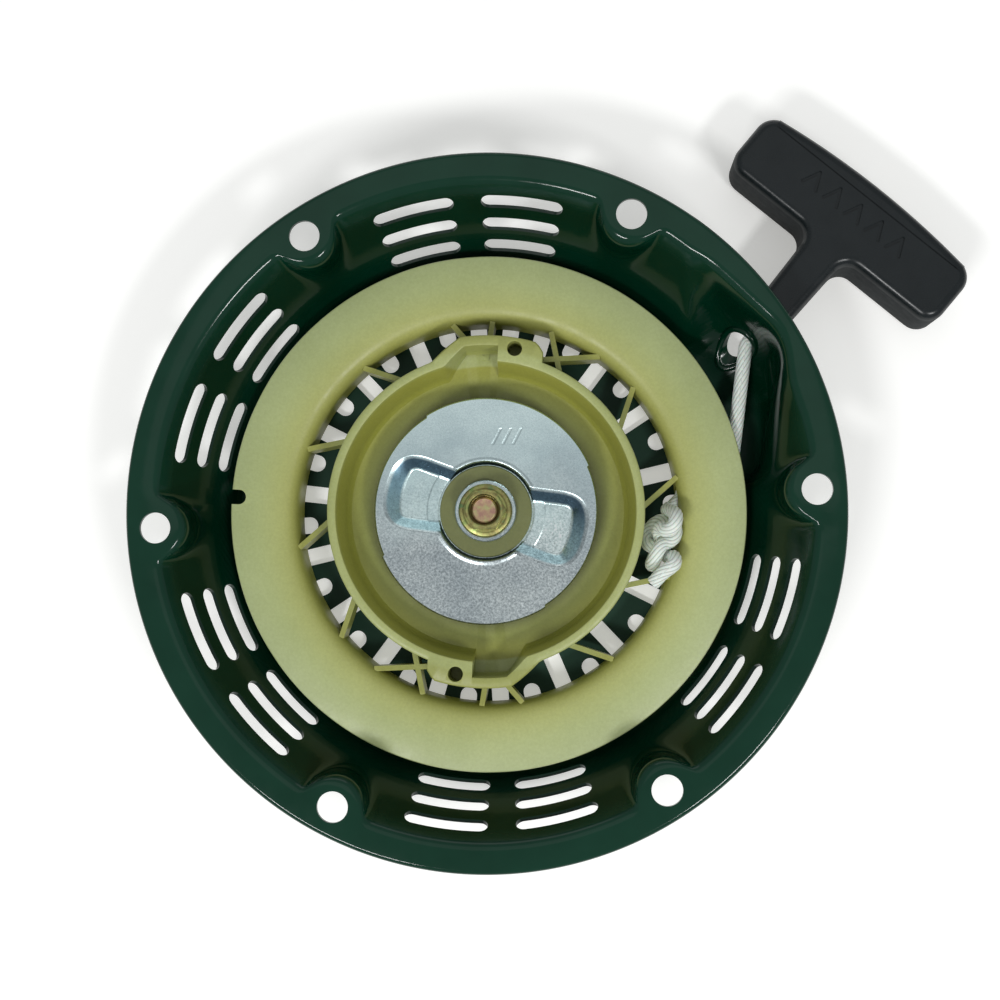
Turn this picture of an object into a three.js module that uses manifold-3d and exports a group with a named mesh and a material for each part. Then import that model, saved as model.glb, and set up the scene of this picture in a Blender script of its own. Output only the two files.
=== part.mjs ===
// Recoil starter for a small horizontal-shaft engine, in millimetres, +Z towards the engine.
// The origin is on the shaft axis, in the plane of the case's outer front face.
import * as THREE from "three";
import { mergeVertices } from "three/addons/utils/BufferGeometryUtils.js";
import Module from "manifold-3d";

// ---- case: one sheet-steel pressing ----
const SHEET = 1.2;
const FLANGE_Z = 32;
const FLANGE_R = 93;
const LIP_DROP = 2.4;
const WALL_TOP_R = 85.4;
const WALL_SLOPE = 0.64;
const FLANGE_BEND_R = 3;
const FRONT_BEND_R = 5;
const RIVET_HOLE_R = 4.4;
const HOLES = 6;
const HOLE_START = 3.3;
const HOLE_R = 4;
const HOLE_CIRCLE_R = 85.2;
const LOBE_R = 8;
const SLOT_ROWS = 3;
const SLOT_ROW_DEPTH = 6.3;
const SLOT_ROW_PITCH = 6.7;
const SLOT_WIDTH = 4.4;
const SLOT_SPAN = 15.3;
const SLOT_OFFSET = 10.2;
const FACE_SLOTS = 18;
const FACE_SLOT_WIDTH = 4.6;
const FACE_SLOT_OUT = 60;
const LONG_SLOT_IN = 34;
const SHORT_SLOT_IN = 47.8;

// ---- rope exit: direction of the pull, and its offset to the clockwise side of the axis ----
const PULL_ANGLE = 50.2;
const PULL_SIDE = -24.6;
const PULL_Z = 9.7;
const MOUTH_U = 79.4;
const EXIT_RAMP_U = 78.8;
const EXIT_WALL = [81.6, 0.11];
const EXIT_LEFT_SIDE = [-12.5, 0.5];
const EXIT_ROPE_ROOM = 8;
const EXIT_LENGTH = 35;
const EXIT_FLOOR = [2.6, 0.2];
const EYELET_SIDE = -23;
const EYELET_R = 3.6;
const BEAD_R = 0.9;

// ---- reel ----
const REEL_R = 69.2;
const REEL_LOWER_R = 66;
const DRUM_R = 52.8;
const DRUM_IN_R = 51;
const GROOVE_Z = [6.2, 13.2];
const REEL_WEB = 1.8;
const CUP_FLOOR_Z = 12.2;
const CUP_RIM_Z = 22.5;
const CUP_R = 42;
const RIB_Z = [5, 12.5];
const RIB_THICK = 1.4;
const SPRING_ROOM_R = 38.8;
const SPRING_PIN = [35.6, 200];
const REEL_KNOT = [47.4, -10, 13.8];
const REEL_KNOT_LEAN = 26;

// ---- recoil spring ----
const SPRING_TURNS = 7;
const SPRING_THICK = 0.6;
const SPRING_Z = [2.6, 9.6];

// ---- rope ----
const ROPE_R = 1.9;
const COIL_IN_R = 55.4;
const COIL_OUT_R = 63.5;
const COIL_START = 5;
const COIL_SWAY = 1.35;
const COIL_CROSSING = 190;
const KNOT_R = 4.3;
const KNOT_TUBE_R = 2.25;

// ---- centre stack ----
const POST_R = 7;
const POST_TOP_Z = 19;
const BORE_R = 7.4;
const GUIDE_R = 29.5;
const GUIDE_LOBE_R = 30;
const GUIDE_TOP_Z = 20.5;
const GUIDE_SHEET = 1.4;
const RECESS_Z = 17.8;
const RECESS_ANGLE = -14;
const PAWL_PIVOT = [19.5, 38];
const PAWL_TIP = [27.8, 88];
const PAWL_Z = [12.5, 17.2];
const PAWL_EYE_Z = 15;
const PEG = [16.5, 73];
const PEG_R = 1.5;
const BOLT_SEAT_Z = 20.8;

// ---- handle ----
const GRIP_LENGTH = 69.5;
const GRIP_THICK = 18;
const GRIP_U = [112.4, 130.4];
const GRIP_CROWN = 2.6;
const GRIP_EDGE_R = 2.5;
const STEM_U = 84;
const STEM_WIDTH = [10, 11.8];
const KNOT_ROOM = [114, 19, 10];

const wasm = await Module();
wasm.setup();

const rad = THREE.MathUtils.degToRad;
const deg = THREE.MathUtils.radToDeg;
const polar = (r, angle, z = 0) =>
  new THREE.Vector3(r * Math.cos(rad(angle)), r * Math.sin(rad(angle)), z);
// A point from its distance along the pull direction, its distance to the left of it, and z.
const pull = (u, v, z) => polar(u, PULL_ANGLE, z).add(polar(v, PULL_ANGLE + 90));

// ---- rope run: it leaves the coil on a tangent that meets the eyelet's mouth ----
const RUN_Z = PULL_Z - COIL_SWAY;
const MOUTH = pull(MOUTH_U, PULL_SIDE, PULL_Z);
const MOUTH_R = Math.hypot(MOUTH.x, MOUTH.y);
const LEAVE_ANGLE = deg(Math.atan2(MOUTH.y, MOUTH.x) - Math.acos(COIL_OUT_R / MOUTH_R));
const COIL_TURNS = 2 + (360 + LEAVE_ANGLE - COIL_START) / 360;
const DRUM_PASS = [polar(50.2, 2.2, RUN_Z), polar(53, 6.2, RUN_Z)];
const COIL_FROM = 0.035;

// ---- solids ----
function solid(geometry) {
  const bare = geometry.clone();
  bare.deleteAttribute("normal");
  bare.deleteAttribute("uv");
  const merged = mergeVertices(bare, 1e-4);
  return new wasm.Manifold(
    new wasm.Mesh({
      numProp: 3,
      vertProperties: merged.attributes.position.array,
      triVerts: new Uint32Array(merged.index.array),
    }),
  );
}

function geometryOf(manifold) {
  const mesh = manifold.getMesh();
  const geometry = new THREE.BufferGeometry();
  geometry.setAttribute("position", new THREE.BufferAttribute(mesh.vertProperties, 3));
  geometry.setIndex(new THREE.BufferAttribute(mesh.triVerts, 1));
  return geometry;
}

const v3 = ([x, y, z]) => new THREE.Vector3(x, y, z);
const join = (parts) => parts.reduce((all, part) => all.add(part));
const cut = (from, parts) => parts.reduce((all, part) => all.subtract(part), from);

// Rings of points skinned into one closed body; looped rings meet end to end and need no caps.
function loft(rings, looped = false) {
  const n = rings[0].length;
  const points = rings.flat();
  const faces = [];
  const spans = looped ? rings.length : rings.length - 1;
  for (let i = 0; i < spans; i++)
    for (let j = 0; j < n; j++) {
      const a = i * n + j;
      const b = i * n + ((j + 1) % n);
      const c = ((i + 1) % rings.length) * n + j;
      const d = ((i + 1) % rings.length) * n + ((j + 1) % n);
      faces.push(a, b, d, a, d, c);
    }
  if (!looped)
    for (let j = 1; j < n - 1; j++) {
      const last = (rings.length - 1) * n;
      faces.push(0, j + 1, j, last, last + j, last + j + 1);
    }
  const geometry = new THREE.BufferGeometry().setFromPoints(points);
  geometry.setIndex(faces);
  const body = solid(geometry);
  if (body.volume() > 0) return body;
  geometry.setIndex([...faces].reverse());
  return solid(geometry);
}

// A profile of [radius, z] points turned round the Z axis.
function turned(profile, segments = 60) {
  const closed = [...profile, profile[0]].map(([r, z]) => new THREE.Vector2(r, z));
  const geometry = new THREE.LatheGeometry(closed, segments);
  geometry.rotateX(Math.PI / 2);
  const body = solid(geometry);
  if (body.volume() > 0) return body;
  const flipped = geometry.clone();
  flipped.setIndex([...geometry.index.array].reverse());
  return solid(flipped);
}

// An outline of Vector3 or Vector2 points in plan, filled from z0 to z1.
function prism(outline, z0, z1) {
  const shape = new THREE.Shape(outline.map((p) => new THREE.Vector2(p.x, p.y)));
  const geometry = new THREE.ExtrudeGeometry(shape, { depth: z1 - z0, bevelEnabled: false });
  return solid(geometry).translate([0, 0, z0]);
}

const circle = (r, sides, at = new THREE.Vector3()) =>
  Array.from({ length: sides }, (_, i) => polar(r, (360 * i) / sides).add(at));
const disc = (r, z0, z1, sides = 24, at = new THREE.Vector3()) =>
  prism(circle(r, sides, at), z0, z1);

// A straight slot outline with round ends between two points.
function capsule(from, to, width, steps = 2) {
  const along = Math.atan2(to.y - from.y, to.x - from.x);
  const end = (centre, start) =>
    Array.from({ length: steps + 1 }, (_, i) => {
      const a = start + (Math.PI * i) / steps;
      return centre.clone().add(new THREE.Vector3(Math.cos(a), Math.sin(a), 0).multiplyScalar(width / 2));
    });
  return [...end(to, along - Math.PI / 2), ...end(from, along + Math.PI / 2)];
}

// The sections of a round rod along points, carried without twist.
function rodRings(points, radius, sides) {
  let side = new THREE.Vector3(0, 0, 1);
  return points.map((p, i) => {
    const ahead = points[Math.min(i + 1, points.length - 1)];
    const behind = points[Math.max(i - 1, 0)];
    const along = ahead.clone().sub(behind).normalize();
    side = side.clone().addScaledVector(along, -side.dot(along)).normalize();
    const up = along.clone().cross(side);
    return Array.from({ length: sides }, (_, k) => {
      const a = (2 * Math.PI * k) / sides;
      return p.clone().addScaledVector(side, radius * Math.cos(a)).addScaledVector(up, radius * Math.sin(a));
    });
  });
}
const rod = (points, radius, sides = 8) => loft(rodRings(points, radius, sides));

// A strip of the given thickness standing on edge along points in plan.
function ribbon(points, thickness, z0, z1) {
  const edge = (sign) =>
    points.map((p, i) => {
      const ahead = points[Math.min(i + 1, points.length - 1)];
      const behind = points[Math.max(i - 1, 0)];
      const along = ahead.clone().sub(behind).normalize();
      return new THREE.Vector3(-along.y, along.x, 0).multiplyScalar((sign * thickness) / 2).add(p);
    });
  return prism([...edge(1), ...edge(-1).reverse()], z0, z1);
}

const smooth = (points, steps) =>
  new THREE.CatmullRomCurve3(points, false, "centripetal").getSpacedPoints(steps);

// A body built round +Z, laid along the pull line with its +Z pointing out and its +X to the left.
function alongPull(body, u) {
  const out = polar(1, PULL_ANGLE);
  const left = polar(1, PULL_ANGLE + 90);
  const up = new THREE.Vector3().crossVectors(out, left);
  const m = new THREE.Matrix4().makeBasis(left, up, out);
  m.setPosition(pull(u, PULL_SIDE, PULL_Z));
  return body.transform(m.elements);
}

// ---- case ----
const least = (a, b, k) => {
  const h = Math.max(k - Math.abs(a - b), 0) / k;
  return Math.min(a, b) - (h * h * k) / 4;
};
const most = (a, b, k) => -least(-a, -b, k);

// Depth inside the pocket that the rope leaves by: a ramp that the eyelet stands on, a wall above
// it, a floor that rises to it, and sides to the left, beside the rope and behind it.
function insidePocket(point, z) {
  const u = point.dot(polar(1, PULL_ANGLE));
  const v = point.dot(polar(1, PULL_ANGLE + 90));
  const fromMouth = point.clone().sub(MOUTH);
  const beside = EXIT_ROPE_ROOM - fromMouth.dot(polar(1, LEAVE_ANGLE));
  const behind = EXIT_LENGTH + fromMouth.dot(polar(1, LEAVE_ANGLE + 90));
  const left = EXIT_LEFT_SIDE[0] + EXIT_LEFT_SIDE[1] * (z - PULL_Z) - v;
  const ramp = (EXIT_RAMP_U + z - PULL_Z - u) / Math.SQRT2;
  const wall = EXIT_WALL[0] + EXIT_WALL[1] * (z - 13) - u;
  const floor = z - EXIT_FLOOR[0] - EXIT_FLOOR[1] * (u - 60);
  const sides = least(least(beside, behind, 5), left, 5);
  return least(least(least(ramp, wall, 4), sides, 6), floor, 4);
}

// Depth inside the pressing's engine-side surface at a point; negative beyond it.
function insideCase(point, z) {
  const r = Math.hypot(point.x, point.y);
  const cone = (WALL_TOP_R - WALL_SLOPE * (FLANGE_Z - z) - r) / Math.hypot(1, WALL_SLOPE);
  const bowl = most(cone, insidePocket(point, z), 5);
  const holes = Array.from({ length: HOLES }, (_, i) => polar(HOLE_CIRCLE_R, HOLE_START + (360 / HOLES) * i));
  const nearest = Math.min(...holes.map((hole) => point.distanceTo(hole)));
  return least(bowl, nearest - LOBE_R - 0.05 * (FLANGE_Z - z), 2.5);
}

function wallRadius(angle, z, depth = 0) {
  let inner = 55;
  let outer = 95;
  for (let i = 0; i < 26; i++) {
    const middle = (inner + outer) / 2;
    if (insideCase(polar(middle, angle), z) > depth) inner = middle;
    else outer = middle;
  }
  return inner;
}

// One side of the sheet at an angle, from the flange inwards: offset 0 is the engine side.
function caseSide(angle, offset) {
  const top = FLANGE_Z - offset;
  const slopeAt = (z) => (wallRadius(angle, z + 1, -offset) - wallRadius(angle, z - 1, -offset)) / 2;
  const bend = FLANGE_BEND_R - offset;
  const rise = Math.atan(slopeAt(top - bend));
  const bendR = wallRadius(angle, top - bend, -offset) + bend / Math.cos(rise);
  const side = [];
  for (const part of [1, 0.55, 0.1]) {
    const a = rise + (Math.PI / 2 - rise) * part;
    side.push([bendR - bend * Math.cos(a), top - bend + bend * Math.sin(a)]);
  }
  for (const z of [24, 17, 10.5]) side.push([wallRadius(angle, z, -offset), z]);
  const corner = FRONT_BEND_R + offset;
  const z = SHEET + FRONT_BEND_R;
  const fall = Math.atan(slopeAt(z));
  const cornerR = wallRadius(angle, z, -offset) - corner / Math.cos(fall);
  for (const part of [0.15, 1]) {
    const a = fall + (Math.PI / 2 - fall) * part;
    side.push([cornerR + corner * Math.cos(a), z - corner * Math.sin(a)]);
  }
  side.push([RIVET_HOLE_R, SHEET - offset]);
  return side;
}

function caseSection(angle) {
  const edge = [
    [FLANGE_R - SHEET, FLANGE_Z - LIP_DROP],
    [FLANGE_R, FLANGE_Z - LIP_DROP],
    [FLANGE_R, FLANGE_Z - SHEET],
    [FLANGE_R - 0.7, FLANGE_Z],
  ];
  const inside = caseSide(angle, 0);
  const outside = caseSide(angle, SHEET).reverse();
  const section = [...edge, ...inside, ...outside, [FLANGE_R - SHEET, FLANGE_Z - SHEET]];
  return section.map(([r, z]) => polar(r, angle, z));
}

function caseAngles() {
  const angles = [];
  for (let hole = 0; hole < HOLES; hole++) {
    const centre = HOLE_START + (360 / HOLES) * hole;
    for (const step of [-9.5, -7.2, -5.4, -3.2, 0, 3.2, 5.4, 7.2, 9.5]) angles.push(centre + step);
    const between = hole === 0 ? 10 : 5;
    for (let i = 1; i < between; i++) angles.push(centre + 9.5 + (41 * i) / between);
  }
  return angles;
}

// A slot cutter that follows the cone of the wall.
function wallSlot(angle, depth) {
  const r = WALL_TOP_R - WALL_SLOPE * depth;
  const normal = new THREE.Vector2(1, -WALL_SLOPE).normalize();
  const half = rad(SLOT_SPAN / 2) * r - SLOT_WIDTH / 2;
  const outline = capsule(new THREE.Vector3(-half, 0, 0), new THREE.Vector3(half, 0, 0), SLOT_WIDTH);
  const ring = (offset) =>
    outline.map((p) => {
      const radius = r - p.y * normal.y + offset * normal.x;
      return polar(radius, angle + deg(p.x / r), FLANGE_Z - depth + p.y * normal.x + offset * normal.y);
    });
  return loft([ring(-2), ring(4)]);
}

// The raised bead round the eyelet, a round rod that lies on the ramp.
function eyeletBead() {
  const line = circle(EYELET_R + BEAD_R, 24).map(({ x, y }) => {
    const at = (u) => pull(u, EYELET_SIDE + x, 0);
    let [u, beyond] = [66, 90];
    for (let i = 0; i < 20; i++) {
      const middle = (u + beyond) / 2;
      if (insideCase(at(middle), PULL_Z + y) > 0) u = middle;
      else beyond = middle;
    }
    return at(u).setZ(PULL_Z + y);
  });
  return loft(rodRings([line.at(-1), ...line, line[0]], BEAD_R, 8).slice(1, -1), true);
}

function makeCase() {
  const shell = loft(caseAngles().map(caseSection), true);
  const eyelet = alongPull(disc(EYELET_R, -10, 6, 20, v3([EYELET_SIDE - PULL_SIDE, 0, 0])), MOUTH_U);
  const ropeWay = rod([leadPoint(0.75), MOUTH, pull(STEM_U, PULL_SIDE, PULL_Z)], ROPE_R + 0.3, 12);
  const cutters = [eyelet, ropeWay];
  for (let hole = 0; hole < HOLES; hole++) {
    const angle = HOLE_START + (360 / HOLES) * hole;
    cutters.push(disc(HOLE_R, FLANGE_Z - 5, FLANGE_Z + 5, 16, polar(HOLE_CIRCLE_R, angle)));
    if (hole === 0) continue;
    for (let row = 0; row < SLOT_ROWS; row++)
      for (const side of [-SLOT_OFFSET, SLOT_OFFSET])
        cutters.push(wallSlot(angle + 180 / HOLES + side, SLOT_ROW_DEPTH + SLOT_ROW_PITCH * row));
  }
  for (let i = 0; i < FACE_SLOTS; i++)
    for (const [turn, inner] of [[13.5, LONG_SLOT_IN], [3.5, SHORT_SLOT_IN]]) {
      const angle = turn + (360 / FACE_SLOTS) * i;
      const near = polar(inner + FACE_SLOT_WIDTH / 2, angle);
      const far = polar(FACE_SLOT_OUT - FACE_SLOT_WIDTH / 2, angle);
      cutters.push(prism(capsule(near, far, FACE_SLOT_WIDTH), -2, 4));
    }
  return cut(shell.add(eyeletBead()), cutters);
}

// ---- reel ----
const ribBetween = (a, b) => ribbon([a, b], RIB_THICK, ...RIB_Z);

function reelRibs() {
  const ribs = [];
  for (let i = 0; i < 12; i++) ribs.push(ribBetween(polar(41.2, 1.3 + 30 * i), polar(51.8, 10.6 + 30 * i)));
  for (const half of [0, 180]) {
    ribs.push(ribBetween(polar(41.2, 90.5 + half), polar(51.8, 88.5 + half)));
    ribs.push(ribBetween(polar(43.5, 71.5 + half), polar(51.8, 54.2 + half)));
  }
  return ribs;
}

// The two bulges of the cup wall, each with a screw boss and an open pocket beside it.
function cupBulge(half) {
  const outline = [[40, 69], [44.6, 69.5], [46.6, 73], [46.6, 84], [46.6, 98.5], [41.5, 110], [40.2, 110]];
  const inner = [[40, 96], [40, 82]];
  return prism([...outline, ...inner].map(([r, a]) => polar(r, a + half)), 2, CUP_RIM_Z);
}

function bulgePocket(half) {
  const outline = [[38, 85.5], [43.7, 85.5], [43.9, 91], [43.7, 97.5], [38, 106]];
  return prism(outline.map(([r, a]) => polar(r, a + half)), CUP_FLOOR_Z, CUP_RIM_Z + 1);
}

function makeReel() {
  const [low, high] = GROOVE_Z;
  const drum = turned([
    [DRUM_IN_R, low - REEL_WEB], [REEL_LOWER_R, low - REEL_WEB], [REEL_LOWER_R, low], [DRUM_R, low],
    [DRUM_R, high], [REEL_R, high], [REEL_R, high + 1.3], [REEL_R - 0.5, high + REEL_WEB],
    [DRUM_R + 1.6, high + REEL_WEB], [DRUM_R - 0.2, high + 0.9],
  ]);
  const cup = turned([
    [39.5, CUP_RIM_Z], [CUP_R, CUP_RIM_Z], [41.2, 2], [SPRING_ROOM_R, 2],
    [SPRING_ROOM_R, CUP_FLOOR_Z - REEL_WEB], [BORE_R, CUP_FLOOR_Z - REEL_WEB], [BORE_R, 15.5], [8.4, 15.5],
    [8.4, CUP_FLOOR_Z], [35.6, CUP_FLOOR_Z], [37.8, 14.2],
  ]);
  const pins = [0, 180].map((half) =>
    disc(2.1, CUP_FLOOR_Z - 1, 18.4, 14, polar(PAWL_PIVOT[0], PAWL_PIVOT[1] + half)));
  const springPin = disc(1.3, 2.4, CUP_FLOOR_Z - 1, 10, polar(...SPRING_PIN));
  const body = join([drum, cup, ...reelRibs(), cupBulge(0), cupBulge(180), ...pins, springPin]);
  const screwHoles = [0, 180].map((half) => disc(2, 12, CUP_RIM_Z + 1, 12, polar(43.5, 79.8 + half)));
  const notch = prism(capsule(polar(REEL_R - 2, 176.5), polar(REEL_R + 6, 176.5), 4), high - 1, high + 3);
  const ropeWay = [polar(48, -0.8, RUN_Z), ...DRUM_PASS, coilPoint(COIL_FROM), coilPoint(0.06)];
  const ropeHole = rod(ropeWay, ROPE_R + 0.3);
  return cut(body, [bulgePocket(0), bulgePocket(180), ...screwHoles, notch, ropeHole]);
}

// ---- rope ----
// Each turn lies beside the one under it, and they change sides where they all cross.
function coilPoint(turn) {
  const angle = COIL_START + 360 * turn;
  const away = THREE.MathUtils.euclideanModulo(angle - COIL_CROSSING + 180, 360) - 180;
  const lean = Math.tanh(away / 22);
  const passed = Math.round((angle - away - COIL_CROSSING) / 360) % 2 ? -1 : 1;
  const width = 2 * ROPE_R + 0.02;
  const pitch = Math.sqrt(width ** 2 - (2 * COIL_SWAY * lean) ** 2);
  const flat = Math.sqrt(width ** 2 - (2 * COIL_SWAY) ** 2);
  const spare = (COIL_OUT_R - COIL_IN_R) / COIL_TURNS - flat;
  return polar(COIL_IN_R + turn * (pitch + spare), angle, PULL_Z + passed * lean * COIL_SWAY);
}

function makeRopeCoil() {
  const steps = Math.round(27 * COIL_TURNS);
  const turnAt = (i) => COIL_FROM + ((COIL_TURNS - COIL_FROM) * i) / steps;
  const turns = Array.from({ length: steps + 1 }, (_, i) => turnAt(i));
  return rod([...DRUM_PASS, ...turns.map(coilPoint)], ROPE_R);
}

// A point on the rope's straight run from the coil, at 0, to the eyelet's mouth, at 1.
const leadPoint = (part) => coilPoint(COIL_TURNS).lerp(MOUTH, part);

function makeRopeLead() {
  const run = [0.012, 0.5, 0.96].map(leadPoint);
  const beyond = [MOUTH_U + 1, STEM_U - 0.2].map((u) => pull(u, PULL_SIDE, PULL_Z));
  return rod([...run, ...beyond], ROPE_R);
}

// An overhand knot: a trefoil opened at the top of one loop, in a frame of three axes:
// across, up (the side its ends leave by) and through. The working end is to the right.
function knotLine(tail, workingEnd) {
  const open = 0.32;
  const steps = 36;
  const loops = Array.from({ length: steps + 1 }, (_, i) => {
    const t = open + ((2 * Math.PI - 2 * open) * i) / steps;
    const reach = KNOT_R + KNOT_TUBE_R * Math.cos(3 * t);
    return v3([-reach * Math.sin(2 * t), reach * Math.cos(2 * t), KNOT_TUBE_R * Math.sin(3 * t)]);
  });
  return smooth([...tail, ...loops, ...workingEnd], 48);
}

function makeReelKnot() {
  const [r, angle, z] = REEL_KNOT;
  const [out, lean] = [polar(1, angle), rad(REEL_KNOT_LEAN)];
  const up = out.clone().multiplyScalar(Math.sin(lean)).setZ(Math.cos(lean));
  const through = out.multiplyScalar(Math.cos(lean)).setZ(-Math.sin(lean));
  const frame = new THREE.Matrix4().makeBasis(polar(1, angle + 90), up, through);
  frame.setPosition(polar(r, angle, z));
  const back = frame.clone().invert();
  const drumSide = [polar(48.4, 0.6, 11.2), polar(49.2, 1.6, 9.4)].map((p) => p.applyMatrix4(back));
  const tail = [[-11, 3.4, -2.4], [-8, 5.4, -1.2], [-5.2, 6.6, 1]].map(v3);
  const toDrum = [...[[5, 6.8, -1], [7.9, 4.6, 0]].map(v3), ...drumSide];
  return rod(knotLine(tail, toDrum), ROPE_R).transform(frame.elements);
}

// The rope inside the handle, from the eyelet to the knot behind the retainer.
function makeRopePull() {
  const centre = KNOT_ROOM[0] + 10.8;
  const tail = [[-7, 6.5, 0.6], [-5, 6.6, 1.4]].map(v3);
  const toStem = [[2.6, 6.2, -1.2], [0.4, 8.6, -0.1], [0, 10.5, 0], [0, 18, 0], [0, centre - STEM_U - 0.2, 0]];
  const body = rod(knotLine(tail, toStem.map(v3)), ROPE_R);
  const turn = new THREE.Matrix4().makeBasis(v3([1, 0, 0]), v3([0, 0, -1]), v3([0, 1, 0]));
  return alongPull(body.transform(turn.elements), centre);
}

// ---- recoil spring and centre post ----
function makeRecoilSpring() {
  const [pinR, pinAngle] = SPRING_PIN;
  const start = 8.4;
  const end = pinR - 1.95;
  const steps = SPRING_TURNS * 20;
  const coils = Array.from({ length: steps + 1 }, (_, i) => {
    const turn = 0.06 + ((SPRING_TURNS - 0.06) * i) / steps;
    return polar(start + ((end - start) * turn) / SPRING_TURNS, pinAngle + 360 * turn);
  });
  const pin = polar(pinR, pinAngle);
  const hook = Array.from({ length: 6 }, (_, i) => polar(1.95, pinAngle + 146 - 34 * i).add(pin));
  const tang = [4.7, 7.2, 8].map((r, i) => polar(r, pinAngle + (i === 2 ? 9 : 0)));
  return ribbon([...tang, ...coils, ...hook], SPRING_THICK, ...SPRING_Z);
}

function makeCentrePost() {
  const post = turned([
    [3.3, 6], [3.3, POST_TOP_Z], [POST_R, POST_TOP_Z], [POST_R, 2.3], [12, 2.3], [12, 1.5], [4, 1.5], [1, 6],
  ], 32);
  const core = disc(4.1, 0, 6, 24);
  const [, angle] = SPRING_PIN;
  const slot = prism(capsule(polar(4.9, angle), polar(9, angle), 1.6), SPRING_Z[0] - 0.3, SPRING_Z[1] + 0.3);
  return cut(post.add(core), [slot]);
}

// ---- ratchet ----
function makePawl(half) {
  const pivot = polar(PAWL_PIVOT[0], PAWL_PIVOT[1] + half);
  const tip = polar(PAWL_TIP[0], PAWL_TIP[1] + half);
  const along = tip.clone().sub(pivot).normalize();
  const inward = new THREE.Vector3(-along.y, along.x, 0);
  const at = (a, b) => pivot.clone().addScaledVector(along, a).addScaledVector(inward, b);
  const length = tip.distanceTo(pivot);
  const nose = [at(length - 5, -2.6), at(length, -1.2), at(length - 0.6, 1.8), at(length - 6, 2.6)];
  const [z0, z1] = PAWL_Z;
  const arm = prism([at(0, -2.6), ...nose, at(0, 2.6)], z0, PAWL_EYE_Z);
  const crest = prism([at(5, -2.6), ...nose, at(5, 2.6)], PAWL_EYE_Z - 0.5, z1);
  const eye = disc(3.8, z0, PAWL_EYE_Z, 18, pivot);
  return cut(join([arm, crest, eye]), [disc(2.4, z0 - 1, z1 + 1, 14, pivot)]);
}

function helix(radius, turns, z0, z1, fromAngle, steps) {
  return Array.from({ length: steps + 1 }, (_, i) =>
    polar(radius, fromAngle + (360 * turns * i) / steps, z0 + ((z1 - z0) * i) / steps));
}

// Two turns round the pawl's pin, one leg along the pawl's outer side and one on the reel.
function makePawlSpring(half) {
  const pivot = polar(PAWL_PIVOT[0], PAWL_PIVOT[1] + half);
  const tip = polar(PAWL_TIP[0], PAWL_TIP[1] + half);
  const aim = deg(Math.atan2(tip.y - pivot.y, tip.x - pivot.x));
  const coil = helix(3.2, 2.25, 15.6, 17.2, aim - 90 - 810, 26);
  const arm = coil.at(-1).clone().add(polar(8.5, aim, -0.4));
  const foot = coil[0].clone().add(polar(4, aim - 810 + 180, 0));
  return rod([foot, ...coil, arm].map((p) => p.clone().add(pivot)), 0.35, 6);
}

const makeFrictionSpring = () => rod(helix(9.6, 2.1, 13.2, 15.4, 60, 36), 0.55, 6);

// The bow-tie recess of the guide in plan, grown by the sheet for its underside.
function recessOutline(grow) {
  const half = [[6, 8.1], [13, 8.5], [21.8, 10], [24.8, 8.9], [26.6, 6.6], [27.6, 2.4]];
  const corner = (r, w, sign) => new THREE.Vector3(r + (r > 20 ? grow : 0), sign * (w + grow), 0);
  return [...half.map(([r, w]) => corner(r, w, -1)), ...half.toReversed().map(([r, w]) => corner(r, w, 1))];
}

function recess(grow, z0, z1) {
  const wings = [0, 180].map((half) =>
    prism(recessOutline(grow).map((p) => p.applyAxisAngle(v3([0, 0, 1]), rad(RECESS_ANGLE + half))), z0, z1));
  return join([disc(12.5 + grow, z0, z1, 32), ...wings]);
}

function makeRatchetGuide() {
  const under = GUIDE_TOP_Z - GUIDE_SHEET;
  const inLobe = (a) => (a >= 24 && a <= 122) || (a >= 204 && a <= 302);
  const rim = Array.from({ length: 90 }, (_, i) => polar(inLobe(4 * i) ? GUIDE_LOBE_R : GUIDE_R, 4 * i));
  const pegs = [0, 180].map((half) => disc(PEG_R, 13, under + 0.4, 12, polar(PEG[0], PEG[1] + half)));
  const pressed = recess(1.1, RECESS_Z - GUIDE_SHEET, under + 0.4);
  const body = join([prism(rim, under, GUIDE_TOP_Z), pressed, ...pegs]);
  return cut(body, [recess(0, RECESS_Z, GUIDE_TOP_Z + 1), disc(BORE_R, 10, 25, 32)]);
}

const washer = (hole, r, z0, z1) => turned([[hole, z0], [r, z0], [r, z1], [hole, z1]], 32);

function makeBolt() {
  const seat = BOLT_SEAT_Z;
  const head = disc(10 / Math.sqrt(3), seat + 1, seat + 6, 6);
  const flange = disc(7.1, seat, seat + 1.3, 32);
  const shank = disc(3, 6.8, seat + 0.5, 20);
  return cut(join([flange, head, shank]), [disc(4.3, seat + 5.4, seat + 7, 20)]);
}

// ---- handle ----
// A closed outline of [x, y, radius] corners moved inwards by inset, its corners rounded.
function rounded(corners, inset, steps = 2) {
  const at = (i) => new THREE.Vector2(...corners[(i + corners.length) % corners.length]);
  return corners.flatMap(([, , radius], i) => {
    const [before, corner, after] = [at(i - 1), at(i), at(i + 1)];
    const come = corner.clone().sub(before).normalize();
    const go = after.clone().sub(corner).normalize();
    const turn = Math.atan2(come.cross(go), come.dot(go));
    const inward = new THREE.Vector2(-come.y - go.y, come.x + go.x).divideScalar(1 + come.dot(go));
    const moved = corner.clone().addScaledVector(inward, inset);
    if (!radius) return [moved];
    const bend = Math.sign(turn) * Math.max(radius - Math.sign(turn) * inset, 0.3);
    const centre = moved.addScaledVector(inward, bend);
    const start = new THREE.Vector2(come.y, -come.x).multiplyScalar(bend);
    return Array.from({ length: steps + 1 }, (_, k) =>
      start.clone().rotateAround(new THREE.Vector2(), (turn * k) / steps).add(centre));
  });
}

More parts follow.
